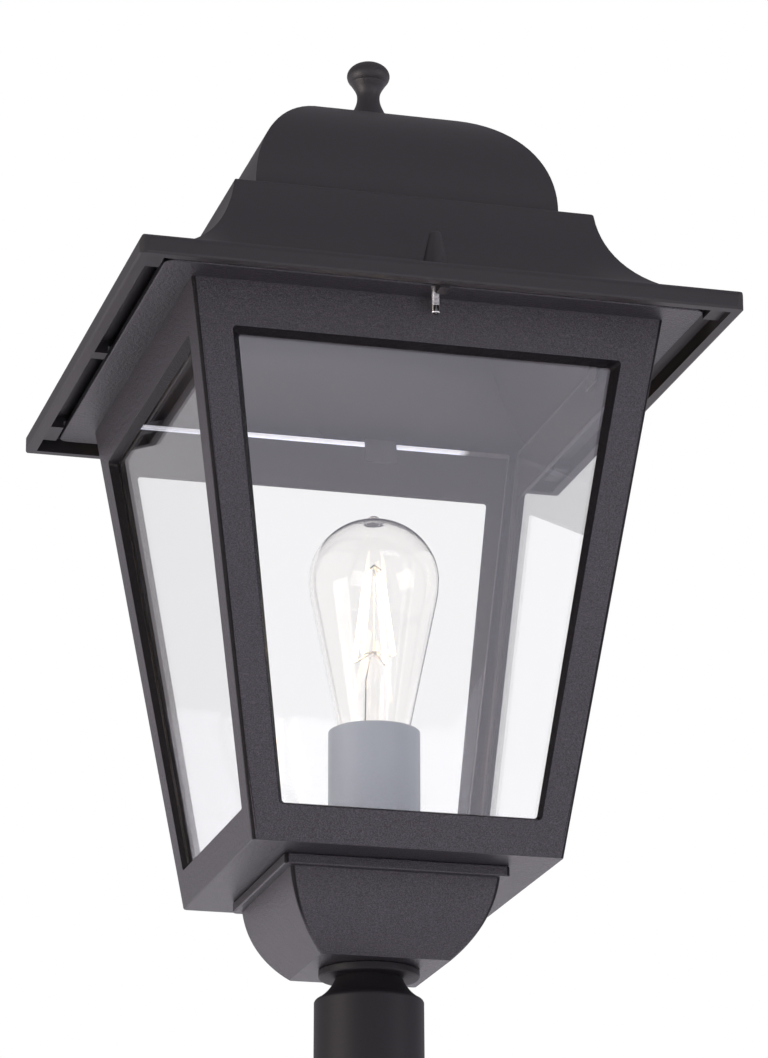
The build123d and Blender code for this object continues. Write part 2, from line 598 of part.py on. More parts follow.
# ---------------------------------------------------------------- post collar: disc, neck and sleeve
with BuildPart() as post_collar:
    with BuildSketch(Plane.XZ):
        with BuildLine():
            Polyline((TUBE_R + SMALL_GAP, CUP_BOTTOM), (DISC_R - 0.6, CUP_BOTTOM), (DISC_R, CUP_BOTTOM - 0.6),
                     (DISC_R, COLLAR_TOP + 0.6), (DISC_R - 0.6, COLLAR_TOP), (NECK_R, COLLAR_TOP))
            ThreePointArc((NECK_R, COLLAR_TOP), (COVETTO_MID_R, COVETTO_MID_Z), (COVETTO_END_R, COVETTO_END_Z))
            RadiusArc((COVETTO_END_R, COVETTO_END_Z), (SLEEVE_R, COVETTO_END_Z - SLEEVE_EDGE_R),
                      SLEEVE_EDGE_R + 0.6)
            Polyline((SLEEVE_R, COVETTO_END_Z - SLEEVE_EDGE_R), (SLEEVE_R + 0.3, 1.0), (SLEEVE_R - 0.7, 0),
                     (SOCKET_R, 0), (SOCKET_R, SOCKET_DEPTH), (POCKET_R, SOCKET_DEPTH),
                     (POCKET_R, POCKET_TOP), (TUBE_R + SMALL_GAP, POCKET_TOP), (TUBE_R + SMALL_GAP, CUP_BOTTOM))
        make_face()
    revolve(axis=Axis.Z)
    for angle in POST_SCREW_ANGLES:
        outward = Vector(cos(radians(angle)), sin(radians(angle)), 0)
        with BuildSketch(Plane(origin=outward * 10 + Vector(0, 0, POST_SCREW_Z), z_dir=outward)):
            Circle(POST_SCREW_R + 0.05)
        extrude(amount=SLEEVE_R, mode=Mode.SUBTRACT)
write(post_collar.part, "post_collar")

for number, angle in enumerate(POST_SCREW_ANGLES, start=1):
    outward = Vector(cos(radians(angle)), sin(radians(angle)), 0)
    tip = outward * (SOCKET_R + 0.2) + Vector(0, 0, POST_SCREW_Z)
    head = outward * (SOCKET_R + 0.2 + POST_SCREW_L) + Vector(0, 0, POST_SCREW_Z)
    with BuildPart() as post_screw:
        with BuildSketch(Plane(origin=tip, z_dir=outward)):
            Circle(POST_SCREW_R)
        extrude(amount=POST_SCREW_L)
        chamfer(post_screw.edges().filter_by(GeomType.CIRCLE), 0.5)
        with BuildSketch(Plane(origin=head, z_dir=outward)):
            RegularPolygon(1.5, 6, major_radius=False)
        extrude(amount=-3.0, mode=Mode.SUBTRACT)
    write(post_screw.part, f"post_screw_{number}")

# ---------------------------------------------------------------- clamp tube, nuts, washers and bush
with BuildPart() as clamp_tube:
    add(ring(TUBE_R, TUBE_BORE_R, TUBE_BOTTOM, TUBE_TOP - TUBE_BOTTOM))
write(clamp_tube.part, "clamp_tube")

CUP_FLOOR_Z = CUP_BOTTOM + CUP_FLOOR_T
LOWER_WASHER_Z = POCKET_TOP - WASHER_T
with BuildPart() as tube_washers:
    add(ring(WASHER_R, TUBE_R + 0.3, LOWER_WASHER_Z, WASHER_T))
    add(ring(WASHER_R, TUBE_R + 0.3, CUP_FLOOR_Z, WASHER_T))
write(tube_washers.part, "tube_washers")

tube_nut = hex_nut(TUBE_NUT_AF, TUBE_NUT_H, TUBE_R + SMALL_GAP)
with BuildPart() as tube_nuts:
    with Locations((0, 0, LOWER_WASHER_Z - TUBE_NUT_H), (0, 0, CUP_FLOOR_Z + WASHER_T)):
        add(tube_nut)
write(tube_nuts.part, "tube_nuts")

with BuildPart() as cable_bush:
    add(ring(TUBE_R + 1.5, TUBE_BORE_R, TUBE_TOP, 2.5))
    fillet(cable_bush.edges().filter_by(GeomType.CIRCLE).group_by(Axis.Z)[-1], 0.8)
write(cable_bush.part, "cable_bush")

with BuildPart() as floor_grommet:
    add(ring(CABLE_HOLE_R + 2.5, CABLE_HOLE_R - 2.5, FLOOR_Z, 2.0, CABLE_HOLE_X))
    add(ring(CABLE_HOLE_R, CABLE_HOLE_R - 2.5, BODY_BOTTOM, FLOOR_T, CABLE_HOLE_X))
    add(ring(CABLE_HOLE_R + 2.5, CABLE_HOLE_R - 2.5, BODY_BOTTOM - 2.0, 2.0, CABLE_HOLE_X))
write(floor_grommet.part, "floor_grommet")

# ---------------------------------------------------------------- lampholder
BRACKET_LOW = FLOOR_Z + BRACKET_T
BRACKET_HIGH = HOLDER_BOTTOM - BRACKET_T
HALF_SPAN = BRACKET_SPAN / 2
FOOT_END = HALF_SPAN + BRACKET_FOOT
with BuildPart() as holder_bracket:
    with BuildSketch(Plane.YZ.offset(LAMP_X - BRACKET_W / 2)) as strip:
        with BuildLine():
            Polyline((-FOOT_END, FLOOR_Z), (-HALF_SPAN + BRACKET_T, FLOOR_Z),
                     (-HALF_SPAN + BRACKET_T, BRACKET_HIGH), (HALF_SPAN - BRACKET_T, BRACKET_HIGH),
                     (HALF_SPAN - BRACKET_T, FLOOR_Z), (FOOT_END, FLOOR_Z), (FOOT_END, BRACKET_LOW),
                     (HALF_SPAN, BRACKET_LOW), (HALF_SPAN, HOLDER_BOTTOM), (-HALF_SPAN, HOLDER_BOTTOM),
                     (-HALF_SPAN, BRACKET_LOW), (-FOOT_END, BRACKET_LOW), close=True)
        make_face()
    extrude(amount=BRACKET_W)
    with BuildSketch(Plane.XY.offset(FLOOR_Z)):
        with Locations(*BRACKET_SCREW_PLACES):
            Circle(2.2)
    extrude(amount=BRACKET_T, mode=Mode.SUBTRACT)
write(holder_bracket.part, "holder_bracket")

bracket_screw = pan_screw(2.0 - SMALL_GAP, BRACKET_T + FLOOR_T, 4.0, 2.6)
with BuildPart() as holder_screws:
    for x, y in BRACKET_SCREW_PLACES:
        with Locations((x, y, BRACKET_LOW)):
            add(bracket_screw)
write(holder_screws.part, "holder_screws")

LAMP_PLANE = Plane(origin=(LAMP_X, 0, 0), x_dir=(1, 0, 0), z_dir=(0, -1, 0))
LAMP_AXIS = Axis((LAMP_X, 0, 0), (0, 0, 1))
LEAD_HOLE_Z = HOLDER_BOTTOM + 6.5
LEAD_SPREAD = 3.4
with BuildPart() as holder_sleeve:
    with BuildSketch(LAMP_PLANE):
        with BuildLine():
            Polyline((0, HOLDER_BOTTOM), (HOLDER_R, HOLDER_BOTTOM), (HOLDER_R, HOLDER_TOP - 0.6),
                     (HOLDER_R - 0.5, HOLDER_TOP), (HOLDER_R - HOLDER_WALL, HOLDER_TOP),
                     (HOLDER_R - HOLDER_WALL, HOLDER_BOTTOM + 2), (0, HOLDER_BOTTOM + 2), close=True)
        make_face()
    revolve(axis=LAMP_AXIS)
    with BuildSketch(Plane(origin=(LAMP_X, 0, LEAD_HOLE_Z), x_dir=(0, 1, 0), z_dir=(-1, 0, 0))):
        SlotOverall(14.0, 6.0)
    extrude(amount=HOLDER_R + 2, mode=Mode.SUBTRACT)
write(holder_sleeve.part, "holder_sleeve")

with BuildPart() as holder_core:
    with BuildSketch(LAMP_PLANE):
        with BuildLine():
            Polyline((0, HOLDER_BOTTOM + 2), (PILLAR_R, HOLDER_BOTTOM + 2), (PILLAR_R, CORE_FOOT),
                     (HOLDER_R - HOLDER_WALL, CORE_FOOT), (HOLDER_R - HOLDER_WALL, CORE_TOP),
                     (THREAD_R + 1.2, CORE_TOP), (CORE_BORE_R, CORE_TOP - 1.2), (CORE_BORE_R, CORE_BORE_Z),
                     (0, CORE_BORE_Z), close=True)
        make_face()
    revolve(axis=LAMP_AXIS)
write(holder_core.part, "holder_core")

# threaded shell with rounded turns as rings, clear of the bulb's cap
THREAD_PITCH, THREAD_DEPTH = 3.6, 0.35
THREAD_BOTTOM, THREAD_RINGS = CORE_BORE_Z + 1.0, 5
with BuildPart() as holder_thread:
    with BuildSketch(LAMP_PLANE):
        with BuildLine():
            Line((THREAD_R, THREAD_BOTTOM), (THREAD_R - THREAD_T, THREAD_BOTTOM))
            for turn_number in range(THREAD_RINGS):
                low = THREAD_BOTTOM + turn_number * THREAD_PITCH
                ThreePointArc((THREAD_R - THREAD_T, low),
                              (THREAD_R - THREAD_T + THREAD_DEPTH, low + THREAD_PITCH / 2),
                              (THREAD_R - THREAD_T, low + THREAD_PITCH))
            top = THREAD_BOTTOM + THREAD_RINGS * THREAD_PITCH
            Polyline((THREAD_R - THREAD_T, top), (THREAD_R, top), (THREAD_R, THREAD_BOTTOM))
        make_face()
    revolve(axis=LAMP_AXIS)
write(holder_thread.part, "holder_thread")

with BuildPart() as holder_contact:
    with BuildSketch(Plane.XZ.offset(-4.0)):
        Polygon((LAMP_X - 9, CORE_BORE_Z), (LAMP_X - 3, CORE_BORE_Z), (LAMP_X + 5, BULB_CAP_TIP - 1.1),
                (LAMP_X + 5, BULB_CAP_TIP - 0.3), (LAMP_X - 3.4, CORE_BORE_Z + 0.8),
                (LAMP_X - 9, CORE_BORE_Z + 0.8), align=None)
    extrude(amount=8.0)
write(holder_contact.part, "holder_contact")

# ---------------------------------------------------------------- bulb
GLASS_NECK_R = CAP_R - 1.0
FLARE_R, FLARE_Z = 15.4, FLANGE_Z - 187.8
RIM_R, RIM_Z = 17.4, FLANGE_Z - 184.0      # the glass where it leaves the holder
SHOULDER_R, SHOULDER_Z = 31.0, FLANGE_Z - 117.8
PIP_R = 6.0
POLE_R = 0.5                               # small flat at the very tip


def envelope(inset):
    """Side of the envelope from its neck up a straight cone to the equator, set in by the glass."""
    ThreePointArc((GLASS_NECK_R - inset, CAP_TOP), (FLARE_R - inset, FLARE_Z), (RIM_R - inset, RIM_Z))
    Line((RIM_R - inset, RIM_Z), (SHOULDER_R - inset, SHOULDER_Z))
    TangentArc((BULB_R - inset, BULB_EQUATOR), (SHOULDER_R - inset, SHOULDER_Z), tangent=(0, -1))


PIP_ANGLE = degrees(acos(PIP_R / BULB_R))
with BuildPart() as bulb_glass:
    with BuildSketch(LAMP_PLANE):
        with BuildLine():
            Polyline((GLASS_NECK_R - BULB_GLASS_T, CAP_TOP), (GLASS_NECK_R - BULB_GLASS_T, CAP_TOP - 3),
                     (GLASS_NECK_R, CAP_TOP - 3), (GLASS_NECK_R, CAP_TOP))
            envelope(0.0)
            crown = EllipticalCenterArc((0, BULB_EQUATOR), BULB_R, BULB_APEX - BULB_EQUATOR,
                                        start_angle=0, arc_size=PIP_ANGLE)
            Spline(crown @ 1, (3.0, BULB_APEX + 1.5), (POLE_R, BULB_TIP), tangents=(crown % 1, (-1, 0)))
            inner_crown = EllipticalCenterArc((0, BULB_EQUATOR), BULB_R - BULB_GLASS_T,
                                              BULB_APEX - BULB_EQUATOR - BULB_GLASS_T,
                                              start_angle=0, arc_size=89)
            Polyline((POLE_R, BULB_TIP), (0, BULB_TIP), (0, (inner_crown @ 1).Y), inner_crown @ 1)
            envelope(BULB_GLASS_T)
        make_face()
    revolve(axis=LAMP_AXIS)
write(bulb_glass.part, "bulb_glass")

CAP_SHELL_T = 0.4
CAP_RINGS = 4
CAP_THREAD_BOTTOM = BULB_CAP_TIP + 5.0
with BuildPart() as bulb_cap:
    with BuildSketch(LAMP_PLANE):
        with BuildLine():
            Polyline((CAP_R - 1.0, CAP_TOP), (CAP_R, CAP_TOP), (CAP_R, CAP_TOP - 3.6))
            Line((CAP_R, CAP_TOP - 3.6), (CAP_R - 0.5, CAP_THREAD_BOTTOM + CAP_RINGS * THREAD_PITCH))
            for turn_number in range(CAP_RINGS, 0, -1):
                high = CAP_THREAD_BOTTOM + turn_number * THREAD_PITCH
                ThreePointArc((CAP_R - 0.5, high), (CAP_R - 0.5 + THREAD_DEPTH, high - THREAD_PITCH / 2),
                              (CAP_R - 0.5, high - THREAD_PITCH))
            Polyline((CAP_R - 0.5, CAP_THREAD_BOTTOM), (CAP_R - 4.5, BULB_CAP_TIP + 2.4),
                     (CAP_R - 4.9, BULB_CAP_TIP + 2.8), (CAP_R - 1.0, CAP_THREAD_BOTTOM + 0.4),
                     (CAP_R - 1.0, CAP_TOP))
        make_face()
    revolve(axis=LAMP_AXIS)
write(bulb_cap.part, "bulb_cap")

with BuildPart() as bulb_contact:
    with BuildSketch(LAMP_PLANE):
        with BuildLine():
            Polyline((0, BULB_CAP_TIP), (4.4, BULB_CAP_TIP), (4.9, BULB_CAP_TIP + 0.9),
                     (CAP_R - 4.9, BULB_CAP_TIP + 2.8), (CAP_R - 6.0, BULB_CAP_TIP + 4.2),
                     (0, BULB_CAP_TIP + 4.2), close=True)
        make_face()
    revolve(axis=LAMP_AXIS)
write(bulb_contact.part, "bulb_contact")

STEM_TOP = FLANGE_Z - 144.0
STEM_R = 5.6
FILAMENT_R = 1.1
FILAMENT_LOW, FILAMENT_LOW_R = FLANGE_Z - 146.0, 11.0
FILAMENT_HIGH, FILAMENT_HIGH_R = FLANGE_Z - 103.0, 4.6
WIRE_R = 0.35
HUB_Z = FLANGE_Z - 98.0
with BuildPart() as bulb_stem:
    with BuildSketch(LAMP_PLANE):
        with BuildLine():
            Polyline((0, CAP_TOP - 2), (CAP_R - 2.4, CAP_TOP - 2), (CAP_R - 2.4, CAP_TOP - 0.8))
            ThreePointArc((CAP_R - 2.4, CAP_TOP - 0.8), (STEM_R + 1.6, CAP_TOP + 3), (STEM_R, CAP_TOP + 8))
            Polyline((STEM_R, CAP_TOP + 8), (STEM_R - 0.6, STEM_TOP - 14), (2.6, STEM_TOP - 4))
            ThreePointArc((2.6, STEM_TOP - 4), (2.6 * sqrt(0.5), STEM_TOP - 2), (POLE_R, STEM_TOP - 1.2))
            Polyline((POLE_R, STEM_TOP - 1.2), (0, STEM_TOP - 1.2), (0, CAP_TOP - 2))
        make_face()
    revolve(axis=LAMP_AXIS)
write(bulb_stem.part, "bulb_stem")

with BuildPart() as bulb_filaments:
    for angle in (45, 135, 225, 315):
        across = Vector(cos(radians(angle)), sin(radians(angle)), 0)
        low = Vector(LAMP_X, 0, FILAMENT_LOW) + across * FILAMENT_LOW_R
        high = Vector(LAMP_X, 0, FILAMENT_HIGH) + across * FILAMENT_HIGH_R
        with BuildSketch(Plane(origin=low, z_dir=high - low)):
            Circle(FILAMENT_R)
        extrude(amount=(high - low).length)
write(bulb_filaments.part, "bulb_filaments")

with BuildPart() as bulb_wires:
    with BuildSketch(Plane((LAMP_X, 0, STEM_TOP - 1.2))):
        Circle(WIRE_R)
    extrude(amount=HUB_Z - STEM_TOP + 1.2)
    for angle in (45, 135, 225, 315):
        across = Vector(cos(radians(angle)), sin(radians(angle)), 0)
        axis_low = Vector(LAMP_X, 0, STEM_TOP + 1.0)
        axis_high = Vector(LAMP_X, 0, HUB_Z - WIRE_R)
        low = Vector(LAMP_X, 0, FILAMENT_LOW - 1.2) + across * (FILAMENT_LOW_R + 0.2)
        high = Vector(LAMP_X, 0, FILAMENT_HIGH + 1.2) + across * (FILAMENT_HIGH_R - 0.1)
        for start, end in ((axis_low, low), (axis_high, high)):
            with BuildSketch(Plane(origin=start, z_dir=end - start)):
                Circle(WIRE_R)
            extrude(amount=(end - start).length - 0.3)
write(bulb_wires.part, "bulb_wires")

# ---------------------------------------------------------------- terminals, earth point and leads
BLOCK_EDGE = BLOCK_X + BLOCK_W / 2
TERMINAL_YS = (-BLOCK_L / 3, 0.0, BLOCK_L / 3)
TERMINAL_Z = FLOOR_Z + 5.0
with BuildPart() as terminal_block:
    with BuildSketch(Plane((BLOCK_X, 0, FLOOR_Z))):
        Rectangle(BLOCK_W, BLOCK_L)
    extrude(amount=BLOCK_H * 0.7)
    with BuildSketch(Plane((BLOCK_X, 0, FLOOR_Z + BLOCK_H * 0.7))):
        with GridLocations(0, BLOCK_L / 3, 1, 3):
            Rectangle(BLOCK_W * 0.7, BLOCK_L / 3 - 2.5)
    extrude(amount=BLOCK_H * 0.3)
    for y in TERMINAL_YS:
        with BuildSketch(Plane(origin=(BLOCK_X, y, TERMINAL_Z), z_dir=(1, 0, 0))):
            Circle(1.6)
        extrude(amount=BLOCK_W / 2, mode=Mode.SUBTRACT)
        with BuildSketch(Plane((BLOCK_X, y, FLOOR_Z + BLOCK_H))):
            Circle(2.0)
        extrude(amount=-4.0, mode=Mode.SUBTRACT)
    with BuildSketch(Plane.XY.offset(FLOOR_Z)):
        with Locations(*BLOCK_SCREW_PLACES):
            Circle(1.6)
    extrude(amount=BLOCK_H, mode=Mode.SUBTRACT)
write(terminal_block.part, "terminal_block")

with BuildPart() as terminal_screws:
    for y in TERMINAL_YS:
        with BuildSketch(Plane((BLOCK_X, y, FLOOR_Z + BLOCK_H - 4.0))):
            Circle(2.0 - SMALL_GAP)
        extrude(amount=2.6)
        with BuildSketch(Plane((BLOCK_X, y, FLOOR_Z + BLOCK_H - 1.4))):
            Rectangle(3.0, 0.6)
        extrude(amount=-0.8, mode=Mode.SUBTRACT)
write(terminal_screws.part, "terminal_screws")

BLOCK_HEAD_Z = FLOOR_Z + BLOCK_H * 0.7
block_screw = pan_screw(1.5 - SMALL_GAP, BLOCK_H * 0.7 + FLOOR_T - 0.5, 1.55, 1.6)
with BuildPart() as block_screws:
    for x, y in BLOCK_SCREW_PLACES:
        with Locations((x, y, BLOCK_HEAD_Z)):
            add(block_screw)
write(block_screws.part, "block_screws")

with BuildPart() as earth_washer:
    with Locations((EARTH_X, EARTH_Y, 0)):
        add(ring(4.6, 2.2, FLOOR_Z, 2.4))
write(earth_washer.part, "earth_washer")

with BuildPart() as earth_screw:
    with Locations((EARTH_X, EARTH_Y, FLOOR_Z + 2.4)):
        add(pan_screw(2.0 - SMALL_GAP, FLOOR_T + 1.8, 4.0, 2.6))
write(earth_screw.part, "earth_screw")


def lead(points, radius):
    """Round lead along straight runs joined by arcs."""
    with BuildPart() as wire:
        with BuildLine() as route:
            FilletPolyline(*points, radius=radius)
        with BuildSketch(Plane(origin=route.line @ 0, z_dir=route.line % 0)):
            Circle(LEAD_R)
        sweep()
    return wire.part


PILLAR_EDGE = LAMP_X - PILLAR_R - 0.05
PILLAR_BULGE = PILLAR_R - sqrt(PILLAR_R**2 - LEAD_SPREAD**2)
BEND_R = 2.4


def holder_route(block_y, holder_y):
    """Way of a lead from its terminal through the sleeve's slot to the pillar."""
    return [
        (BLOCK_EDGE - 3.0, block_y, TERMINAL_Z),
        (BLOCK_EDGE + 7.0, block_y, TERMINAL_Z),
        (BLOCK_EDGE + 13.0, (block_y + holder_y) / 2, LEAD_HOLE_Z + 2.0),
        (LAMP_X - HOLDER_R - 2.0, holder_y, LEAD_HOLE_Z),
        (PILLAR_EDGE + PILLAR_BULGE - 1.2, holder_y, LEAD_HOLE_Z),
    ]


with BuildPart() as lead_live:
    add(lead(holder_route(TERMINAL_YS[0], -LEAD_SPREAD), BEND_R))
write(lead_live.part, "lead_live")

with BuildPart() as lead_neutral:
    add(lead(holder_route(TERMINAL_YS[1], LEAD_SPREAD), BEND_R))
write(lead_neutral.part, "lead_neutral")

EARTH_LEAD_Z = FLOOR_Z + 1.15
EARTH_ROUTE = [
    (BLOCK_EDGE - 3.0, TERMINAL_YS[2], TERMINAL_Z),
    (BLOCK_EDGE + 6.0, TERMINAL_YS[2], TERMINAL_Z),
    (EARTH_X + 9.9, EARTH_Y - 9.9, TERMINAL_Z - 2.0),
    (EARTH_X + 3.4, EARTH_Y - 3.4, EARTH_LEAD_Z),
]
with BuildPart() as lead_earth:
    add(lead(EARTH_ROUTE, BEND_R))
write(lead_earth.part, "lead_earth")
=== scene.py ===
# %% [markdown]
# # A post top lantern
# This file dresses a lantern that a CAD program has already built to size: a square tapered body of cast
# aluminium with four panes, a coved and domed roof with a small finial, a filament bulb in its holder, and a
# round collar that slips over a post. The CAD pieces keep their meshes, because their shape is right. What
# Blender adds is the finish of each surface, the threads of the roof screws, the light and the camera.

# %% Open the CAD model
import bpy
import bmesh
import json
import math
from mathutils import Matrix, Vector

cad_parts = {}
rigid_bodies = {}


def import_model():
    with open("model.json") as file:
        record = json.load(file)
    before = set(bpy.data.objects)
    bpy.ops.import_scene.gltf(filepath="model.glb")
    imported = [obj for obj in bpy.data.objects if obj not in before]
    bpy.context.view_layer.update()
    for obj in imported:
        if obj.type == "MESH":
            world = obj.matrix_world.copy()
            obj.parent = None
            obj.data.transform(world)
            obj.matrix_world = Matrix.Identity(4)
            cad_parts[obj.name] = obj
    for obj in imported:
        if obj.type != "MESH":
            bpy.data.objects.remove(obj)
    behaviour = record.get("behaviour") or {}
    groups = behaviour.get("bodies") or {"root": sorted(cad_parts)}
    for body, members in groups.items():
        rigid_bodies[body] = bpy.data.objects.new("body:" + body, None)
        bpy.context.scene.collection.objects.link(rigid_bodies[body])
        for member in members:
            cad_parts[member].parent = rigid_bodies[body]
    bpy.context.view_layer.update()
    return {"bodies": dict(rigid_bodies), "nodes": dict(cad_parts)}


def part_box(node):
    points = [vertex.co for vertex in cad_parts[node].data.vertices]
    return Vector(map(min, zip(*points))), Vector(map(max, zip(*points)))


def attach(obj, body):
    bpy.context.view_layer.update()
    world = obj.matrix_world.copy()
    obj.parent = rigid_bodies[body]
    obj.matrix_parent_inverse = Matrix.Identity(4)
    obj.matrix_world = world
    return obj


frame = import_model()
MM = 0.001

# %% [markdown]
# ## Camera
# The photograph looks up at the lantern from its front left, from about two metres away. The viewing angle
# is set as an azimuth and an elevation, as a photographer would say it, and a rotation matrix is built from
# the three directions right, up and back. That is steadier than a tracking constraint, because nothing can
# turn it later. The long side of the picture takes the 36 mm of the sensor.

# %% Place the camera
AZIMUTH, ELEVATION, ROLL = math.radians(-15.026), math.radians(-18.057), math.radians(-0.11)
CAMERA_PLACE = Vector((-519.3, -1964.0, -346.6)) * MM
PICTURE_LONG_SIDE, FOCAL_PIXELS, SENSOR = 1058, 4298.3, 36.0
FARTHEST_SEEN = 50.0

back = Vector((math.sin(AZIMUTH) * math.cos(ELEVATION), -math.cos(AZIMUTH) * math.cos(ELEVATION),
               math.sin(ELEVATION)))
level_right = (-back).cross(Vector((0, 0, 1))).normalized()
level_up = level_right.cross(-back)
right = level_right * math.cos(ROLL) + level_up * math.sin(ROLL)
up = level_up * math.cos(ROLL) - level_right * math.sin(ROLL)

camera_data = bpy.data.cameras.new("camera")
camera_data.lens = FOCAL_PIXELS / PICTURE_LONG_SIDE * SENSOR
camera_data.sensor_width = SENSOR
camera_data.clip_end = FARTHEST_SEEN
camera = bpy.data.objects.new("camera", camera_data)
bpy.context.scene.collection.objects.link(camera)
turn = Matrix((right, up, back)).transposed().to_4x4()
camera.matrix_world = Matrix.Translation(CAMERA_PLACE) @ turn
bpy.context.scene.camera = camera
print("lens", round(camera_data.lens, 1), "mm, camera", round(CAMERA_PLACE.length, 2), "m from the origin")

# %% [markdown]
# ## Studio
# The object stands in a white studio. The world is plain white to the camera and through glass, which gives
# the clean background. What surfaces mirror, and the fill light that falls on them, are two softer greys
# graded by height. A shader can tell these cases apart by asking what kind of ray is looking.

# %% A world that looks white
STUDIO_TINT, FILL_TINT = (0.97, 0.92, 1.0), (0.97, 0.96, 1.0)
# each stop: sine of the height above the horizon, and grey
FILL_BY_HEIGHT = [(-0.7, 0.16), (0.0, 0.32), (0.7, 0.42)]
MIRRORED_BY_HEIGHT = [(-0.2, 0.97), (0.02, 0.95), (0.2, 0.52), (0.45, 0.36)]


def any_of(tree, outputs):
    """Largest of several mask outputs."""
    total = outputs[0]
    for output in outputs[1:]:
        larger = tree.nodes.new("ShaderNodeMath")
        larger.operation = "MAXIMUM"
        tree.links.new(total, larger.inputs[0])
        tree.links.new(output, larger.inputs[1])
        total = larger.outputs[0]
    return total


def white_backdrop_world(filled, mirrored):
    """World that is white to the eye and through glass, with its fill and reflections graded by height."""
    world = bpy.data.worlds.new("studio")
    bpy.context.scene.world = world
    world.use_nodes = True
    tree = world.node_tree
    nodes, links = tree.nodes, tree.links
    nodes.clear()
    path = nodes.new("ShaderNodeLightPath")
    white = nodes.new("ShaderNodeBackground")
    white.inputs["Color"].default_value = (1, 1, 1, 1)
    direction = nodes.new("ShaderNodeSeparateXYZ")
    links.new(nodes.new("ShaderNodeTexCoord").outputs["Generated"], direction.inputs[0])
    height = nodes.new("ShaderNodeMapRange")
    height.inputs["From Min"].default_value = -1.0
    links.new(direction.outputs["Z"], height.inputs["Value"])
    graded = []
    for stops, tint in ((filled, FILL_TINT), (mirrored, STUDIO_TINT)):
        fade = nodes.new("ShaderNodeValToRGB")
        while len(fade.color_ramp.elements) < len(stops):
            fade.color_ramp.elements.new(0.5)
        for element, (sine, grey) in zip(fade.color_ramp.elements, stops):
            element.position = (sine + 1) / 2
            element.color = (*(grey * c for c in tint), 1)
        links.new(height.outputs["Result"], fade.inputs["Fac"])
        background = nodes.new("ShaderNodeBackground")
        links.new(fade.outputs["Color"], background.inputs["Color"])
        graded.append(background)
    soft, reflection = graded
    mirror = nodes.new("ShaderNodeMixShader")
    links.new(path.outputs["Is Glossy Ray"], mirror.inputs[0])
    links.new(soft.outputs[0], mirror.inputs[1])
    links.new(reflection.outputs[0], mirror.inputs[2])
    mix = nodes.new("ShaderNodeMixShader")
    looked_at = any_of(tree, [path.outputs["Is Camera Ray"], path.outputs["Is Transmission Ray"]])
    links.new(looked_at, mix.inputs[0])
    links.new(mirror.outputs[0], mix.inputs[1])
    links.new(white.outputs[0], mix.inputs[2])
    out = nodes.new("ShaderNodeOutputWorld")
    links.new(mix.outputs[0], out.inputs["Surface"])
    print("world of", len(nodes), "nodes")


white_backdrop_world(FILL_BY_HEIGHT, MIRRORED_BY_HEIGHT)

# %% [markdown]
# ### Soft boxes
# Four large square lamps shape the object. The two in front light its faces but are kept out of reflections,
# or they would show as white squares on the roof. The warm one at the left gives the side faces their tone.

# %% Lamps
def soft_box(name, place, aim, size, watts, colour=(1, 1, 1), mirrored=True):
    """Large square area lamp, turned towards a point; without mirrored it is left out of reflections."""
    data = bpy.data.lights.new(name, "AREA")
    data.shape = "SQUARE"
    data.size = size
    data.energy = watts
    data.color = colour
    lamp = bpy.data.objects.new(name, data)
    bpy.context.scene.collection.objects.link(lamp)
    lamp.location = place
    lamp.rotation_mode = "QUATERNION"
    lamp.rotation_quaternion = (Vector(aim) - Vector(place)).to_track_quat("-Z", "Y")
    lamp.visible_glossy = mirrored
    print(name, watts, "W,", size, "m wide")


CENTRE = (0, 0, 0.28)
soft_box("front_high", (0.5, -1.7, 2.0), CENTRE, 1.4, 24, (0.97, 0.94, 1.0), mirrored=False)
soft_box("key_right", (1.9, -1.6, 0.5), CENTRE, 1.0, 6)
soft_box("fill_left", (-2.3, -0.5, -0.2), CENTRE, 1.4, 34, (1.0, 0.9, 0.82))
soft_box("front_low", (0.45, -1.7, -0.4), CENTRE, 1.0, 16, (0.98, 0.94, 1.0), mirrored=False)

# %% [markdown]
# ### The floor
# The floor lies well below, because a lantern like this is lifted on a post. It glows white where a ray from
# the eye, a mirror image or a pane finds it, but it is grey paper to all other light. So it blends into the
# background and still throws little light up at the undersides.

# %% The floor
FLOOR_Z, FLOOR_HALF, FLOOR_SEGMENTS = -1.6, 12.0, 4
PAPER_GREY, PAPER_ROUGHNESS = 0.3, 0.9


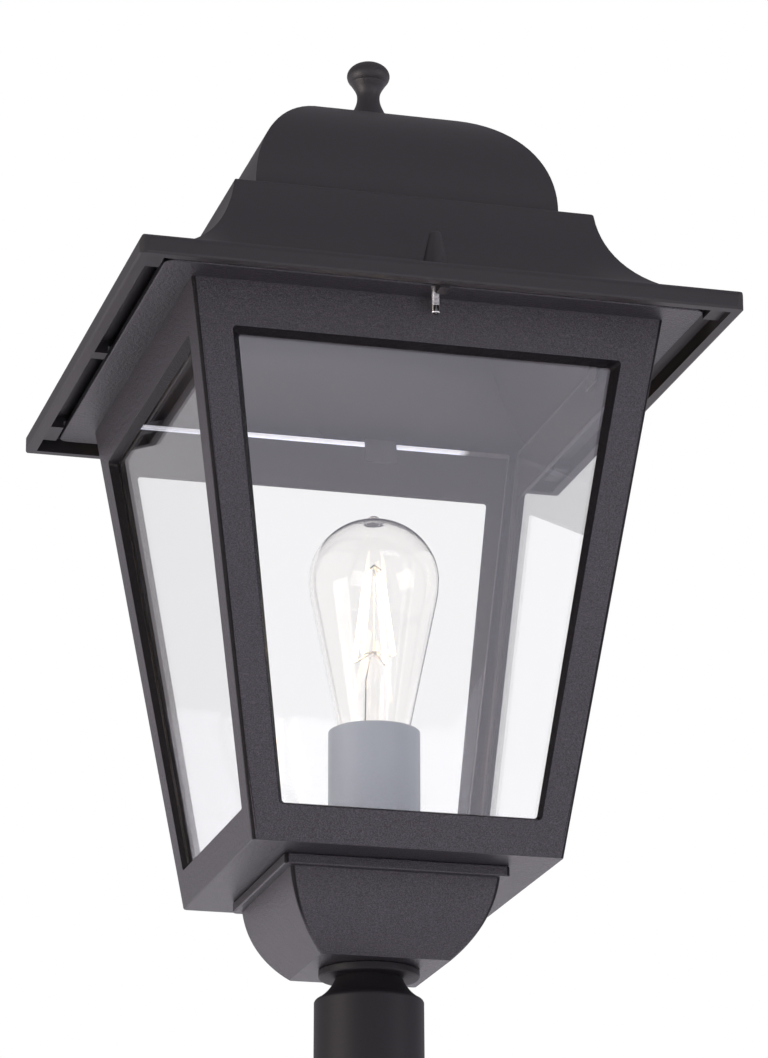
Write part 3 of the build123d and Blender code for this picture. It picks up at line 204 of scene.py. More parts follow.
def plain_floor():
    """Floor under the lantern: white where it is seen or mirrored, but grey in the light it throws up."""
    bm = bmesh.new()
    bmesh.ops.create_grid(bm, x_segments=FLOOR_SEGMENTS, y_segments=FLOOR_SEGMENTS, size=FLOOR_HALF)
    bmesh.ops.translate(bm, verts=bm.verts, vec=(0, 0, FLOOR_Z))
    mesh = bpy.data.meshes.new("studio_floor")
    bm.to_mesh(mesh)
    bm.free()
    floor = bpy.data.objects.new("studio_floor", mesh)
    bpy.context.scene.collection.objects.link(floor)
    material = bpy.data.materials.new("studio_paper")
    material.use_nodes = True
    nodes, links = material.node_tree.nodes, material.node_tree.links
    paper = nodes["Principled BSDF"]
    paper.inputs["Base Color"].default_value = (PAPER_GREY, PAPER_GREY, PAPER_GREY, 1)
    paper.inputs["Roughness"].default_value = PAPER_ROUGHNESS
    glow = nodes.new("ShaderNodeEmission")
    tint = nodes.new("ShaderNodeMix")
    tint.data_type = "RGBA"
    tint.inputs["A"].default_value = (1, 1, 1, 1)
    tint.inputs["B"].default_value = (*STUDIO_TINT, 1)
    path = nodes.new("ShaderNodeLightPath")
    links.new(path.outputs["Is Glossy Ray"], tint.inputs["Factor"])
    links.new(tint.outputs["Result"], glow.inputs["Color"])
    kinds = ("Camera", "Glossy", "Transmission")
    seen = any_of(material.node_tree, [path.outputs[f"Is {kind} Ray"] for kind in kinds])
    mix = nodes.new("ShaderNodeMixShader")
    links.new(seen, mix.inputs[0])
    links.new(paper.outputs[0], mix.inputs[1])
    links.new(glow.outputs[0], mix.inputs[2])
    links.new(mix.outputs[0], nodes["Material Output"].inputs["Surface"])
    mesh.materials.append(material)


plain_floor()
bpy.context.scene.view_settings.view_transform = "Standard"
print("floor", -FLOOR_Z, "m below the collar's mouth")

# %% [markdown]
# ## Tools for finishes
# The powder-coated pieces share one effect: fine speckle in the colour over a small pebbled relief. It is
# made once as a shader node group with named inputs, so that every material can use it with its own colours,
# scale and strength. The helpers below build the group and the nodes that other finishes need too.

# %% Group helpers
def new_group(name, inputs, outputs):
    """Empty shader group with float or colour sockets; returns the tree, its input node and output node."""
    tree = bpy.data.node_groups.new(name, "ShaderNodeTree")
    for label, kind, value in inputs:
        socket = tree.interface.new_socket(name=label, in_out="INPUT", socket_type=kind)
        if value is not None:
            socket.default_value = value
    for label, kind in outputs:
        tree.interface.new_socket(name=label, in_out="OUTPUT", socket_type=kind)
    return tree, tree.nodes.new("NodeGroupInput"), tree.nodes.new("NodeGroupOutput")


FLOAT, COLOUR = "NodeSocketFloat", "NodeSocketColor"


def noise_in(tree, coordinates, scale, detail=2.0, roughness=0.5):
    """Noise texture in object space inside a tree."""
    noise = tree.nodes.new("ShaderNodeTexNoise")
    noise.inputs["Detail"].default_value = detail
    noise.inputs["Roughness"].default_value = roughness
    tree.links.new(coordinates, noise.inputs["Vector"])
    if isinstance(scale, (int, float)):
        noise.inputs["Scale"].default_value = scale
    else:
        tree.links.new(scale, noise.inputs["Scale"])
    return noise


def ramp_in(tree, value, stops):
    """Colour ramp with grey or coloured stops, each (place, colour)."""
    ramp = tree.nodes.new("ShaderNodeValToRGB")
    while len(ramp.color_ramp.elements) < len(stops):
        ramp.color_ramp.elements.new(0.5)
    for element, (place, colour) in zip(ramp.color_ramp.elements, stops):
        element.position = place
        element.color = (*colour, 1) if len(colour) == 3 else (colour[0],) * 3 + (1,)
    tree.links.new(value, ramp.inputs["Fac"])
    return ramp


# %% [markdown]
# ### Pebbled powder coat
# Powder coat is sprayed as dust and baked, and it cures to a fine orange-peel of about half a millimetre. It
# could be real displacement, but at this size a bump of two noises is enough: one for the pebbles and one,
# about three times as large, for the slow unevenness of the casting below.

# %% Speckle and pebble group
SWELLS_PER_PEBBLE = 0.3
CLOUDS_PER_METRE, CLOUD_SHARE = 9.0, 0.25
PEAKS_BEGIN, PEAKS_FULL = 0.42, 0.72       # of the noise's range
pebble, pebble_in, pebble_out = new_group(
    "pebbled_coat",
    [("Dark", COLOUR, (0.02, 0.02, 0.022, 1)), ("Light", COLOUR, (0.05, 0.05, 0.055, 1)),
     ("Pebbles per metre", FLOAT, 1600.0), ("Speckle", FLOAT, 0.5), ("Roughness", FLOAT, 0.55),
     ("Roughness spread", FLOAT, 0.1)],
    [("Colour", COLOUR), ("Height", FLOAT), ("Roughness", FLOAT)])
place = pebble.nodes.new("ShaderNodeTexCoord").outputs["Object"]
grains = noise_in(pebble, place, pebble_in.outputs["Pebbles per metre"], 2.0, 0.6)
swell_scale = pebble.nodes.new("ShaderNodeMath")
swell_scale.operation = "MULTIPLY"
swell_scale.inputs[1].default_value = SWELLS_PER_PEBBLE
pebble.links.new(pebble_in.outputs["Pebbles per metre"], swell_scale.inputs[0])
swells = noise_in(pebble, place, swell_scale.outputs[0], 1.0)
clouds = noise_in(pebble, place, CLOUDS_PER_METRE, 3.0)
height = pebble.nodes.new("ShaderNodeMath")
height.operation = "ADD"
pebble.links.new(grains.outputs["Fac"], height.inputs[0])
pebble.links.new(swells.outputs["Fac"], height.inputs[1])
pebble.links.new(height.outputs[0], pebble_out.inputs["Height"])
peaks = ramp_in(pebble, grains.outputs["Fac"], [(PEAKS_BEGIN, (0,)), (PEAKS_FULL, (1,))])
speckle = pebble.nodes.new("ShaderNodeMath")
speckle.operation = "MULTIPLY"
pebble.links.new(peaks.outputs["Color"], speckle.inputs[0])
pebble.links.new(pebble_in.outputs["Speckle"], speckle.inputs[1])
cloud_share = pebble.nodes.new("ShaderNodeMath")
cloud_share.operation = "MULTIPLY_ADD"
cloud_share.inputs[1].default_value = CLOUD_SHARE
pebble.links.new(clouds.outputs["Fac"], cloud_share.inputs[0])
pebble.links.new(speckle.outputs[0], cloud_share.inputs[2])
blend = pebble.nodes.new("ShaderNodeMix")
blend.data_type = "RGBA"
pebble.links.new(cloud_share.outputs[0], blend.inputs["Factor"])
pebble.links.new(pebble_in.outputs["Dark"], blend.inputs["A"])
pebble.links.new(pebble_in.outputs["Light"], blend.inputs["B"])
pebble.links.new(blend.outputs["Result"], pebble_out.inputs["Colour"])
rough = pebble.nodes.new("ShaderNodeMath")
rough.operation = "MULTIPLY_ADD"
pebble.links.new(grains.outputs["Fac"], rough.inputs[0])
pebble.links.new(pebble_in.outputs["Roughness spread"], rough.inputs[1])
pebble.links.new(pebble_in.outputs["Roughness"], rough.inputs[2])
pebble.links.new(rough.outputs[0], pebble_out.inputs["Roughness"])
print("pebbled coat of", len(pebble.nodes), "nodes")


# %% [markdown]
# ### Coated metal
# A coated material places the group, takes its colour and roughness, and turns its height into a bump. How
# strongly it mirrors the studio is a value of its own, called its shine.

# %% Material helpers
COAT_IOR = 1.5


def blank_material(name):
    """Material with a Principled shader; returns the material, its tree and the shader."""
    material = bpy.data.materials.new(name)
    material.use_nodes = True
    tree = material.node_tree
    return material, tree, tree.nodes["Principled BSDF"]


def add_bump(tree, shader, height, strength, distance):
    """Bump node between a height and a shader's normal."""
    bump = tree.nodes.new("ShaderNodeBump")
    bump.inputs["Strength"].default_value = strength
    bump.inputs["Distance"].default_value = distance
    tree.links.new(height, bump.inputs["Height"])
    tree.links.new(bump.outputs["Normal"], shader.inputs["Normal"])


def use_group(tree, group, **values):
    """Place a shader group in a material with its own values."""
    node = tree.nodes.new("ShaderNodeGroup")
    node.node_tree = group
    for label, value in values.items():
        node.inputs[label.replace("_", " ")].default_value = value
    return node


def coated(name, dark, light, pebbles, speckle_share, roughness, spread, bump_mm, strength, shine):
    """Powder-coated metal, whose shine is the strength of its reflection."""
    material, tree, shader = blank_material(name)
    coat = use_group(tree, pebble, Dark=(*dark, 1), Light=(*light, 1), Pebbles_per_metre=pebbles,
                     Speckle=speckle_share, Roughness=roughness, Roughness_spread=spread)
    tree.links.new(coat.outputs["Colour"], shader.inputs["Base Color"])
    tree.links.new(coat.outputs["Roughness"], shader.inputs["Roughness"])
    shader.inputs["IOR"].default_value = COAT_IOR
    shader.inputs["Specular IOR Level"].default_value = shine
    add_bump(tree, shader, coat.outputs["Height"], strength, bump_mm * MM)
    return material


# %% [markdown]
# ### Painted shade in corners and reveals
# Shade falls in the rounded corners and in the reveals of the windows, so painted shade is laid there: the
# coat is made darker and less shiny than on the flat faces. They can be found from the direction in which a
# face points: on a corner two parts of its normal are large at once, so their product is too.

# %% Masks from the direction of a face
def product_mask(tree, pairs, low, high):
    """Mask that rises from 0 to 1 as the largest product of two signals, sign aside, passes low to high."""
    sizes = []
    for first, second in pairs:
        product = tree.nodes.new("ShaderNodeMath")
        product.operation = "MULTIPLY"
        tree.links.new(first, product.inputs[0])
        tree.links.new(second, product.inputs[1])
        size = tree.nodes.new("ShaderNodeMath")
        size.operation = "ABSOLUTE"
        tree.links.new(product.outputs[0], size.inputs[0])
        sizes.append(size.outputs[0])
    return ramp_in(tree, any_of(tree, sizes), [(low, (0,)), (high, (1,))]).outputs["Color"]


def band_mask(tree, value, low, high, blur):
    """Mask that is 1 between two heights."""
    shares = []
    for edge, side in ((low, 1), (high, -1)):
        step = tree.nodes.new("ShaderNodeMapRange")
        step.inputs["From Min"].default_value = edge - side * blur
        step.inputs["From Max"].default_value = edge + side * blur
        tree.links.new(value, step.inputs["Value"])
        shares.append(step.outputs["Result"])
    both = tree.nodes.new("ShaderNodeMath")
    both.operation = "MULTIPLY"
    tree.links.new(shares[0], both.inputs[0])
    tree.links.new(shares[1], both.inputs[1])
    return both.outputs[0]


# %% Paint shade into the corners of a coat
# painted shade: the colour, and the share of shine, laid into corners and reveals
PAINTED_SHADE_COLOUR, PAINTED_SHADE_SHINE = (0.005, 0.004, 0.006, 1), 0.2     # the shine is a share of the coat's own
UPRIGHT_CORNER, LEVEL_CORNER = (0.18, 0.34), (0.22, 0.34)   # products at which the mask begins and is full
BAND_BLUR = 1 * MM


def paint_shade_in_corners(material, shine, low, high):
    """Paint shade into the coat where a face leans halfway between two sides: rounded corners and window
    reveals.
    """
    tree = material.node_tree
    shader = tree.nodes["Principled BSDF"]
    coat_colour = shader.inputs["Base Color"].links[0].from_socket
    facing = tree.nodes.new("ShaderNodeSeparateXYZ")
    tree.links.new(tree.nodes.new("ShaderNodeNewGeometry").outputs["True Normal"], facing.inputs[0])
    x, y, z = (facing.outputs[axis] for axis in "XYZ")
    upright = product_mask(tree, [(x, y)], *UPRIGHT_CORNER)
    level = product_mask(tree, [(x, z), (y, z)], *LEVEL_CORNER)
    height = tree.nodes.new("ShaderNodeSeparateXYZ")
    tree.links.new(tree.nodes.new("ShaderNodeTexCoord").outputs["Object"], height.inputs[0])
    level_reveal = tree.nodes.new("ShaderNodeMath")
    level_reveal.operation = "MULTIPLY"
    tree.links.new(level, level_reveal.inputs[0])
    tree.links.new(band_mask(tree, height.outputs["Z"], low, high, BAND_BLUR), level_reveal.inputs[1])
    share = any_of(tree, [upright, level_reveal.outputs[0]])
    # painted shade: corners and reveals take a darker colour and a weaker shine
    painted_shade = tree.nodes.new("ShaderNodeMix")
    painted_shade.data_type = "RGBA"
    painted_shade.inputs["B"].default_value = PAINTED_SHADE_COLOUR
    tree.links.new(share, painted_shade.inputs["Factor"])
    tree.links.new(coat_colour, painted_shade.inputs["A"])
    tree.links.new(painted_shade.outputs["Result"], shader.inputs["Base Color"])
    gloss = tree.nodes.new("ShaderNodeMapRange")
    gloss.inputs["To Min"].default_value = shine
    gloss.inputs["To Max"].default_value = shine * PAINTED_SHADE_SHINE
    tree.links.new(share, gloss.inputs["Value"])
    tree.links.new(gloss.outputs["Result"], shader.inputs["Specular IOR Level"])


# %% [markdown]
# ### The three coats
# The body and the cup have a coarse sparkling coat, the roof and the finial a nearly smooth one, and the
# collar a smooth one that is darker. Only the coarse coat gets painted shade in its corners. Its level
# reveals are sought between the flange and the floor, so that the casting's own outer edges stay as they are.

# %% Make the coats
BODY_SHINE, COLLAR_SHINE = 0.5, 0.3
REVEAL_MARGIN = 8 * MM
textured_coat = coated(
    "textured_powder_coat", dark=(0.011, 0.0095, 0.013), light=(0.075, 0.068, 0.084), pebbles=1900,
    speckle_share=0.95, roughness=0.26, spread=0.14, bump_mm=0.25, strength=1.0, shine=BODY_SHINE)
body_low, body_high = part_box("lantern_body")
paint_shade_in_corners(textured_coat, BODY_SHINE, body_low.z + REVEAL_MARGIN, body_high.z - REVEAL_MARGIN)
smooth_coat = coated(
    "smooth_powder_coat", dark=(0.016, 0.0145, 0.017), light=(0.028, 0.025, 0.029), pebbles=2200,
    speckle_share=0.3, roughness=0.44, spread=0.1, bump_mm=0.005, strength=0.15, shine=BODY_SHINE)
dark_coat = coated(
    "dark_powder_coat", dark=(0.009, 0.008, 0.01), light=(0.02, 0.018, 0.021), pebbles=2200,
    speckle_share=0.3, roughness=0.46, spread=0.1, bump_mm=0.012, strength=0.3, shine=COLLAR_SHINE)
print("body", round((body_high.z - body_low.z) / MM, 1), "mm high")


# %% [markdown]
# ### Glass
# The panes are flat clear glass four millimetres thick, and the bulb is blown glass under a millimetre thick.
# Real glass lets lamp light through, but a ray tracer can't aim a shadow ray through a refracting surface, so
# the room behind it would go dark. The shader is therefore swapped for a clear one on shadow rays alone.

# %% Clear glass
SHADOW_PASS = (0.93, 0.93, 0.93, 1)
SMEARS_BEGIN, SMEARS_FULL = 0.45, 0.8       # of the noise's range


def clear_glass(name, tint, ior, smear, smear_scale):
    """Clear glass with faint smears, which lets lamp light pass; returns the material and its shader."""
    material, tree, shader = blank_material(name)
    place = tree.nodes.new("ShaderNodeTexCoord").outputs["Object"]
    streaks = noise_in(tree, place, smear_scale, 4.0)
    smears = ramp_in(tree, streaks.outputs["Fac"], [(SMEARS_BEGIN, (0,)), (SMEARS_FULL, (smear,))])
    shader.inputs["Base Color"].default_value = (*tint, 1)
    tree.links.new(smears.outputs["Color"], shader.inputs["Roughness"])
    shader.inputs["IOR"].default_value = ior
    shader.inputs["Transmission Weight"].default_value = 1.0
    clear = tree.nodes.new("ShaderNodeBsdfTransparent")
    clear.inputs["Color"].default_value = SHADOW_PASS
    path = tree.nodes.new("ShaderNodeLightPath")
    mix = tree.nodes.new("ShaderNodeMixShader")
    tree.links.new(path.outputs["Is Shadow Ray"], mix.inputs[0])
    tree.links.new(shader.outputs[0], mix.inputs[1])
    tree.links.new(clear.outputs[0], mix.inputs[2])
    tree.links.new(mix.outputs[0], tree.nodes["Material Output"].inputs["Surface"])
    return material, mix


# %% [markdown]
# ### Ground edges and their painted glow
# A pane's cut edges are ground matt. Light that runs inside the pane leaves it there, so the upper edge, high
# in the dark of the roof, shows as a bright line, which fades out at the right as it does in the photograph.
# That line is painted light: the edge is given an emission of its own, and its grey is whitened where it
# glows.
# A mirror image of the edge stays dark, or the line would be doubled in the other panes.

# %% Grind the edges of a pane
FACE_BEGINS, FACE_FULL = 0.7, 0.8           # square of the normal's part along the pane's own axis
RIM_BLUR, FADE_LENGTH = 0.25 * MM, 6 * MM
GROUND_GREY, GROUND_ROUGHNESS = (0.09, 0.09, 0.105, 1), 0.6
EDGE_GLOW_TONES = [(0.3, (0.7, 0.73, 0.85)), (0.6, (0.88, 0.91, 1.0))]


def grind_edges_and_paint_glow(material, clear_mix, face_axis, bright_from, bright_until, glow):
    """Ground edges all round a pane that faces along one axis.

    Above the height bright_from, and as far as x = bright_until, they carry a painted glow.
    """
    tree = material.node_tree
    facing = tree.nodes.new("ShaderNodeSeparateXYZ")
    tree.links.new(tree.nodes.new("ShaderNodeNewGeometry").outputs["True Normal"], facing.inputs[0])
    along = facing.outputs[face_axis]
    flat = product_mask(tree, [(along, along)], FACE_BEGINS, FACE_FULL)
    edge = tree.nodes.new("ShaderNodeMath")
    edge.operation = "SUBTRACT"
    edge.inputs[0].default_value = 1.0
    tree.links.new(flat, edge.inputs[1])
    place = tree.nodes.new("ShaderNodeTexCoord").outputs["Object"]
    split = tree.nodes.new("ShaderNodeSeparateXYZ")
    tree.links.new(place, split.inputs[0])
    above = tree.nodes.new("ShaderNodeMapRange")
    above.inputs["From Min"].default_value = bright_from
    above.inputs["From Max"].default_value = bright_from + RIM_BLUR
    tree.links.new(split.outputs["Z"], above.inputs["Value"])
    sparkle = noise_in(tree, place, 900.0, 3.0)
    tones = ramp_in(tree, sparkle.outputs["Fac"], EDGE_GLOW_TONES)
    ground = tree.nodes.new("ShaderNodeBsdfPrincipled")
    grey = tree.nodes.new("ShaderNodeMix")
    grey.data_type = "RGBA"
    grey.inputs["A"].default_value = GROUND_GREY
    tree.links.new(tones.outputs["Color"], grey.inputs["B"])
    tree.links.new(grey.outputs["Result"], ground.inputs["Base Color"])
    # painted light: the ground edge emits a glow of its own, and its grey is whitened in step with it
    tree.links.new(tones.outputs["Color"], ground.inputs["Emission Color"])
    until = tree.nodes.new("ShaderNodeMapRange")
    until.inputs["From Min"].default_value = bright_until
    until.inputs["From Max"].default_value = bright_until + FADE_LENGTH
    until.inputs["To Min"].default_value = glow
    until.inputs["To Max"].default_value = 0.0
    tree.links.new(split.outputs["X"], until.inputs["Value"])
    path = tree.nodes.new("ShaderNodeLightPath")
    not_mirrored = tree.nodes.new("ShaderNodeMapRange")
    not_mirrored.inputs["To Min"].default_value = 1.0
    not_mirrored.inputs["To Max"].default_value = 0.0
    tree.links.new(path.outputs["Glossy Depth"], not_mirrored.inputs["Value"])
    strength = not_mirrored.outputs["Result"]
    for factor in (until, above):
        shine = tree.nodes.new("ShaderNodeMath")
        shine.operation = "MULTIPLY"
        tree.links.new(strength, shine.inputs[0])
        tree.links.new(factor.outputs["Result"], shine.inputs[1])
        strength = shine.outputs[0]
    tree.links.new(strength, ground.inputs["Emission Strength"])
    whitened = tree.nodes.new("ShaderNodeMath")
    whitened.operation = "DIVIDE"
    whitened.inputs[1].default_value = glow
    tree.links.new(strength, whitened.inputs[0])
    tree.links.new(whitened.outputs[0], grey.inputs["Factor"])
    ground.inputs["Roughness"].default_value = GROUND_ROUGHNESS
    mix = tree.nodes.new("ShaderNodeMixShader")
    tree.links.new(any_of(tree, [edge.outputs[0], above.outputs["Result"]]), mix.inputs[0])
    tree.links.new(clear_mix.outputs[0], mix.inputs[1])
    tree.links.new(ground.outputs[0], mix.inputs[2])
    tree.links.new(mix.outputs[0], tree.nodes["Material Output"].inputs["Surface"])


# %% [markdown]
# ### The panes and the bulb
# The front pane mirrors more of the studio than the others, which lays a faint grey veil over the dark inside
# of the roof. The back and side panes mirror little, so that no bright steps show behind the bulb.

# %% Pane glass and blown glass
PANE_SMEAR, PANE_SMEAR_SCALE = 0.03, 14.0
MIRROR_TINT = (0.9, 0.9, 1.0, 1)
CLEAR_TINT, GREYER_TINT = (0.975, 0.975, 0.985), (0.945, 0.945, 0.95)
pane_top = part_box("pane_back")[1].z


def pane_glass(name, tint, index, face_axis, bright_rim, bright_until, glow):
    """Clear pane glass whose ground edge carries a painted glow over its uppermost millimetres."""
    material, clear_mix = clear_glass(name, tint, index, PANE_SMEAR, PANE_SMEAR_SCALE)
    material.node_tree.nodes["Principled BSDF"].inputs["Specular Tint"].default_value = MIRROR_TINT
    grind_edges_and_paint_glow(material, clear_mix, face_axis, pane_top - bright_rim, bright_until, glow)
    return material


front_pane_glass = pane_glass("front_pane_glass", CLEAR_TINT, 1.88, "Y", 0.2 * MM, 80 * MM, 0.1)
back_pane_glass = pane_glass("back_pane_glass", GREYER_TINT, 1.3, "Y", 2.2 * MM, 78 * MM, 0.55)
side_pane_glass = pane_glass("side_pane_glass", CLEAR_TINT, 1.45, "X", 0.2 * MM, -80 * MM, 0.1)
blown_glass = clear_glass("blown_glass", (1.0, 0.99, 0.975), 1.3, 0.02, 60.0)[0]
print("panes end", round(pane_top / MM, 1), "mm up")


# %% [markdown]
# ### Metals, plastics and rubber
# The small parts are bought pieces: stainless screws and nuts, a brass thread, a nickel cap, moulded plastic
# and rubber. Each gets its own colour and a fine noise that varies colour, roughness and relief.

# %% Small part materials
RELIEF_STRENGTH = 0.4
BRUSHED = (1, 1, 0.2)       # the grain is drawn out along Z


def small_part(name, low, high, scale, metallic, roughness, spread, bump_mm, stretch=(1, 1, 1)):
    """Plain finish whose colour, roughness and relief follow one noise of scale grains per metre."""
    material, tree, shader = blank_material(name)
    place = tree.nodes.new("ShaderNodeTexCoord").outputs["Object"]
    drawn = tree.nodes.new("ShaderNodeMapping")
    drawn.inputs["Scale"].default_value = stretch
    tree.links.new(place, drawn.inputs["Vector"])
    grain = noise_in(tree, drawn.outputs["Vector"], scale, 3.0, 0.6)
    tones = ramp_in(tree, grain.outputs["Fac"], [(0.3, low), (0.7, high)])
    tree.links.new(tones.outputs["Color"], shader.inputs["Base Color"])
    rough = tree.nodes.new("ShaderNodeMath")
    rough.operation = "MULTIPLY_ADD"
    rough.inputs[1].default_value = spread
    rough.inputs[2].default_value = roughness
    tree.links.new(grain.outputs["Fac"], rough.inputs[0])
    tree.links.new(rough.outputs[0], shader.inputs["Roughness"])
    shader.inputs["Metallic"].default_value = metallic
    add_bump(tree, shader, grain.outputs["Fac"], RELIEF_STRENGTH, bump_mm * MM)
    return material


# darkest and lightest colour, grains per metre, metallic, roughness and its spread, relief in mm
stainless = small_part("stainless_steel", (0.42, 0.42, 0.42), (0.6, 0.6, 0.59), 700, 1.0, 0.2, 0.2, 0.02,
                       BRUSHED)
spring_steel = small_part("blackened_spring_steel", (0.03, 0.03, 0.034), (0.05, 0.05, 0.056), 500, 0.0,
                          0.42, 0.15, 0.02)
bright_steel = small_part("bright_steel", (0.74, 0.74, 0.74), (0.86, 0.86, 0.85), 400, 1.0, 0.06, 0.08, 0.01)
brass = small_part("plain_brass", (0.6, 0.42, 0.16), (0.78, 0.58, 0.27), 500, 1.0, 0.22, 0.2, 0.02)
nickel = small_part("nickel_plate", (0.5, 0.49, 0.46), (0.68, 0.67, 0.63), 500, 1.0, 0.18, 0.15, 0.02)
rubber = small_part("black_rubber", (0.018, 0.018, 0.018), (0.035, 0.035, 0.034), 900, 0.0, 0.7, 0.15, 0.05)
thermoset = small_part("grey_thermoset", (0.165, 0.19, 0.215), (0.215, 0.24, 0.272), 800, 0.0, 0.38, 0.12,
                       0.03)
nylon = small_part("white_nylon", (0.72, 0.72, 0.69), (0.82, 0.82, 0.79), 300, 0.0, 0.45, 0.1, 0.03)
ceramic = small_part("glazed_ceramic", (0.78, 0.76, 0.71), (0.86, 0.84, 0.8), 120, 0.0, 0.12, 0.08, 0.02)
brown_sleeve = small_part("brown_sleeve", (0.13, 0.055, 0.025), (0.18, 0.08, 0.04), 900, 0.0, 0.4, 0.1, 0.02)
blue_sleeve = small_part("blue_sleeve", (0.02, 0.08, 0.34), (0.04, 0.12, 0.45), 900, 0.0, 0.4, 0.1, 0.02)


# %% [markdown]
# ### The earth lead
# An earth lead is green with yellow. A wave texture through the whole space cuts the lead into bands of the
# two colours, and a little distortion keeps them from looking printed.

# %% Earth lead in green and yellow
STRIPE_GREEN, STRIPE_YELLOW = (0.04, 0.26, 0.03), (0.75, 0.6, 0.03)
STRIPES_SCALE, STRIPES_DISTORTION, SLEEVE_ROUGHNESS = 90.0, 0.6, 0.42


def striped_sleeve(name):
    """Green sleeve with yellow bands across it."""
    material, tree, shader = blank_material(name)
    place = tree.nodes.new("ShaderNodeTexCoord").outputs["Object"]
    wave = tree.nodes.new("ShaderNodeTexWave")
    wave.inputs["Scale"].default_value = STRIPES_SCALE
    wave.inputs["Distortion"].default_value = STRIPES_DISTORTION
    tree.links.new(place, wave.inputs["Vector"])
    tones = ramp_in(tree, wave.outputs["Fac"], [(0.5, STRIPE_GREEN), (0.56, STRIPE_YELLOW)])
    tree.links.new(tones.outputs["Color"], shader.inputs["Base Color"])
    shader.inputs["Roughness"].default_value = SLEEVE_ROUGHNESS
    return material


green_yellow_sleeve = striped_sleeve("green_yellow_sleeve")
print(len(bpy.data.materials), "materials so far")


# %% [markdown]
# ### The lit strips
# The bulb is lit. Its light strips are thin rods coated with yellow phosphor, bright enough to burn out to
# white in a photograph. An emission that varies a little along the rod gives the warm fringe at its ends.

# %% Light strip material
STRIP_GLOW, STRIP_ROUGHNESS = 9.0, 0.5
STRIP_TONES = [(0.3, (1.0, 0.72, 0.36)), (0.7, (1.0, 0.86, 0.6))]


def lit_strip(name, strength):
    """Phosphor strip that shines warm white."""
    material, tree, shader = blank_material(name)
    place = tree.nodes.new("ShaderNodeTexCoord").outputs["Object"]
    grain = noise_in(tree, place, 700.0, 2.0)
    tones = ramp_in(tree, grain.outputs["Fac"], STRIP_TONES)
    tree.links.new(tones.outputs["Color"], shader.inputs["Base Color"])
    tree.links.new(tones.outputs["Color"], shader.inputs["Emission Color"])
    shader.inputs["Emission Strength"].default_value = strength
    shader.inputs["Roughness"].default_value = STRIP_ROUGHNESS
    return material


strip_phosphor = lit_strip("lit_phosphor", STRIP_GLOW)

# %% [markdown]
# ## Dressing the CAD pieces
# Every CAD piece keeps its mesh and takes one of the finishes above. The meshes arrive shaded smooth where
# the CAD surface is curved, with their sharp edges kept. The last line prints any piece that was forgotten.

# %% Give each CAD piece its finish
FINISHES = {
    textured_coat: ["lantern_body", "base_cup"],
    smooth_coat: ["roof", "finial"],
    dark_coat: ["post_collar"],
    front_pane_glass: ["pane_front"],
    back_pane_glass: ["pane_back"],
    side_pane_glass: ["pane_right", "pane_left"],
    spring_steel: ["pane_clips"],
    blown_glass: ["bulb_glass", "bulb_stem"],
    rubber: ["seal_front", "seal_right", "seal_back", "seal_left", "cable_bush", "floor_grommet"],
    bright_steel: ["roof_screw_front", "roof_screw_back"],
    stainless: ["clip_screws", "cup_screws", "holder_screws", "block_screws", "earth_screw",
                "post_screw_1", "post_screw_2", "post_screw_3",
                "finial_nut", "finial_washer", "tube_nuts", "tube_washers", "clamp_tube", "holder_bracket"],
    brass: ["earth_washer", "terminal_screws", "holder_thread", "holder_contact", "bulb_contact"],
    nickel: ["bulb_cap", "bulb_wires"],
    thermoset: ["holder_sleeve"],
    ceramic: ["holder_core"],
    nylon: ["terminal_block"],
    brown_sleeve: ["lead_live"],
    blue_sleeve: ["lead_neutral"],
    green_yellow_sleeve: ["lead_earth"],
    strip_phosphor: ["bulb_filaments"],
}
for material, names in FINISHES.items():
    for name in names:
        mesh = frame["nodes"][name].data
        mesh.materials.clear()
        mesh.materials.append(material)
dressed = {name for names in FINISHES.values() for name in names}
print("not dressed:", sorted(set(frame["nodes"]) - dressed))

# %% [markdown]
# ## Screw threads
# The CAD model leaves a thread as a plain cylinder. Where a roof screw hangs below the flange its thread can
# be seen, so a ridge is wound round the shank there: a small triangle carried along a helix, closed at both
# ends. The ridge rides with its screw, so it follows when the screw is turned out.

# %% Wind a thread
SCREW_R, THREAD_PITCH, THREAD_CREST, THREAD_ROOT = 1.95 * MM, 0.7 * MM, 0.13 * MM, 0.05 * MM
RIDGE_HALF_SHARE = 0.4      # of the pitch
STEPS_PER_TURN = 28


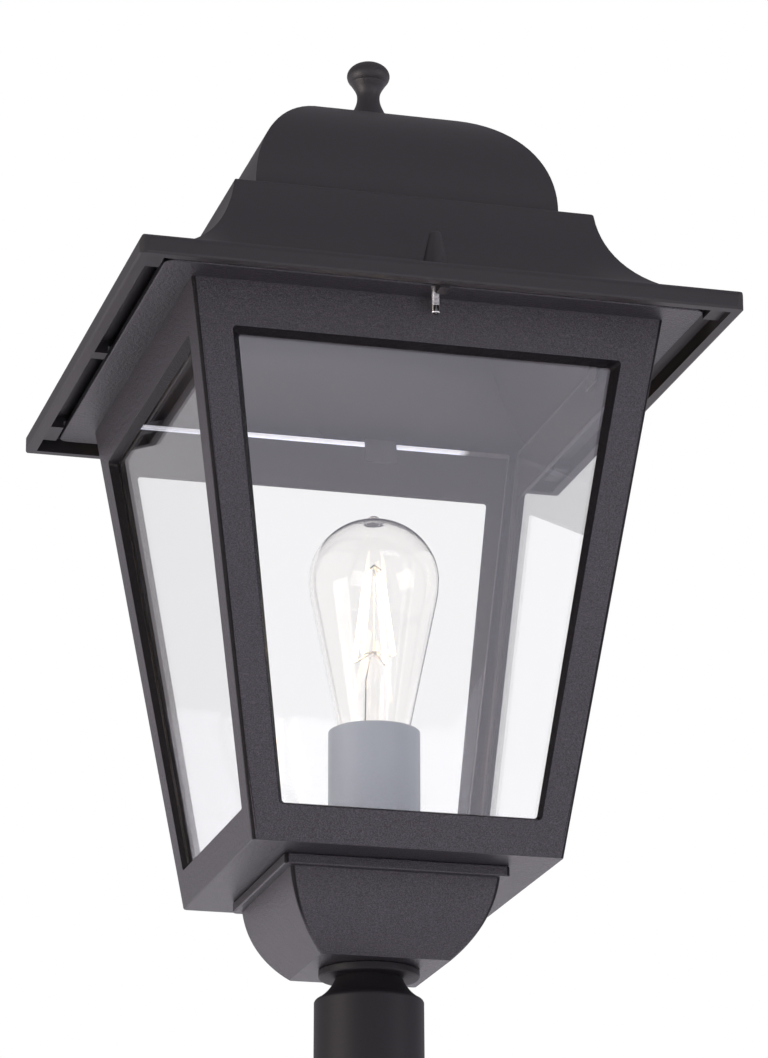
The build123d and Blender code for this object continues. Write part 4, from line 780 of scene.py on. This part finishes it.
def wound_thread(name, axis_x, axis_y, foot, top):
    """Helical ridge of triangular section round an upright axis, between two heights."""
    steps = round((top - foot) / THREAD_PITCH * STEPS_PER_TURN)
    half = THREAD_PITCH * RIDGE_HALF_SHARE
    root, crest = SCREW_R - THREAD_ROOT, SCREW_R + THREAD_CREST
    bm = bmesh.new()
    sections = []
    for step in range(steps + 1):
        angle = 2 * math.pi * step / STEPS_PER_TURN
        z = foot + half + (top - foot - 2 * half) * step / steps
        corners = [(root, z - half), (crest, z), (root, z + half)]
        sections.append([bm.verts.new((axis_x + r * math.cos(angle), axis_y + r * math.sin(angle), level))
                         for r, level in corners])
    for lower, upper in zip(sections, sections[1:]):
        for corner in range(len(lower)):
            following = (corner + 1) % len(lower)
            bm.faces.new((lower[corner], upper[corner], upper[following], lower[following]))
    bm.faces.new(sections[0])
    bm.faces.new(reversed(sections[-1]))
    bmesh.ops.recalc_face_normals(bm, faces=bm.faces)
    mesh = bpy.data.meshes.new(name)
    bm.to_mesh(mesh)
    bm.free()
    piece = bpy.data.objects.new(name, mesh)
    bpy.context.scene.collection.objects.link(piece)
    mesh.materials.append(bright_steel)
    return piece


# %% Threads of the roof screws
HEAD_HEIGHT, FLANGE_THICKNESS, THREAD_GAP = 3.4 * MM, 3 * MM, 0.2 * MM
FLANGE_UNDERSIDE = body_high.z - FLANGE_THICKNESS
for side in ("front", "back"):
    screw_low, screw_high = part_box(f"roof_screw_{side}")
    middle = (screw_low + screw_high) / 2
    thread = wound_thread(f"roof_screw_{side}_thread", middle.x, middle.y, screw_low.z + HEAD_HEIGHT,
                          FLANGE_UNDERSIDE - THREAD_GAP)
    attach(thread, f"roof_screw_{side}")
    print(thread.name, len(thread.data.polygons), "faces")

# %% [markdown]
# ## The bulb's own light
# The strips are small, so sampling them alone would be noisy. A warm point lamp at their centre, about as
# large as the group of strips, casts the light that falls inside the roof and through the panes. The lamp
# itself is hidden from the eye, from mirror images and through glass, where it would show as a white ball.

# %% Warm lamp inside the bulb
LAMP_WATTS, LAMP_COLOUR, LAMP_RADIUS = 1.0, (1.0, 0.72, 0.42), 12 * MM
strip_low, strip_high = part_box("bulb_filaments")
glow_data = bpy.data.lights.new("bulb_glow", "POINT")
glow_data.energy = LAMP_WATTS
glow_data.color = LAMP_COLOUR
glow_data.shadow_soft_size = LAMP_RADIUS
glow = bpy.data.objects.new("bulb_glow", glow_data)
bpy.context.scene.collection.objects.link(glow)
glow.location = (strip_low + strip_high) / 2
glow.parent = frame["bodies"]["bulb"]
glow.visible_camera = False
glow.visible_glossy = False
glow.visible_transmission = False
print("lamp", round(glow.location.z / MM, 1), "mm up")
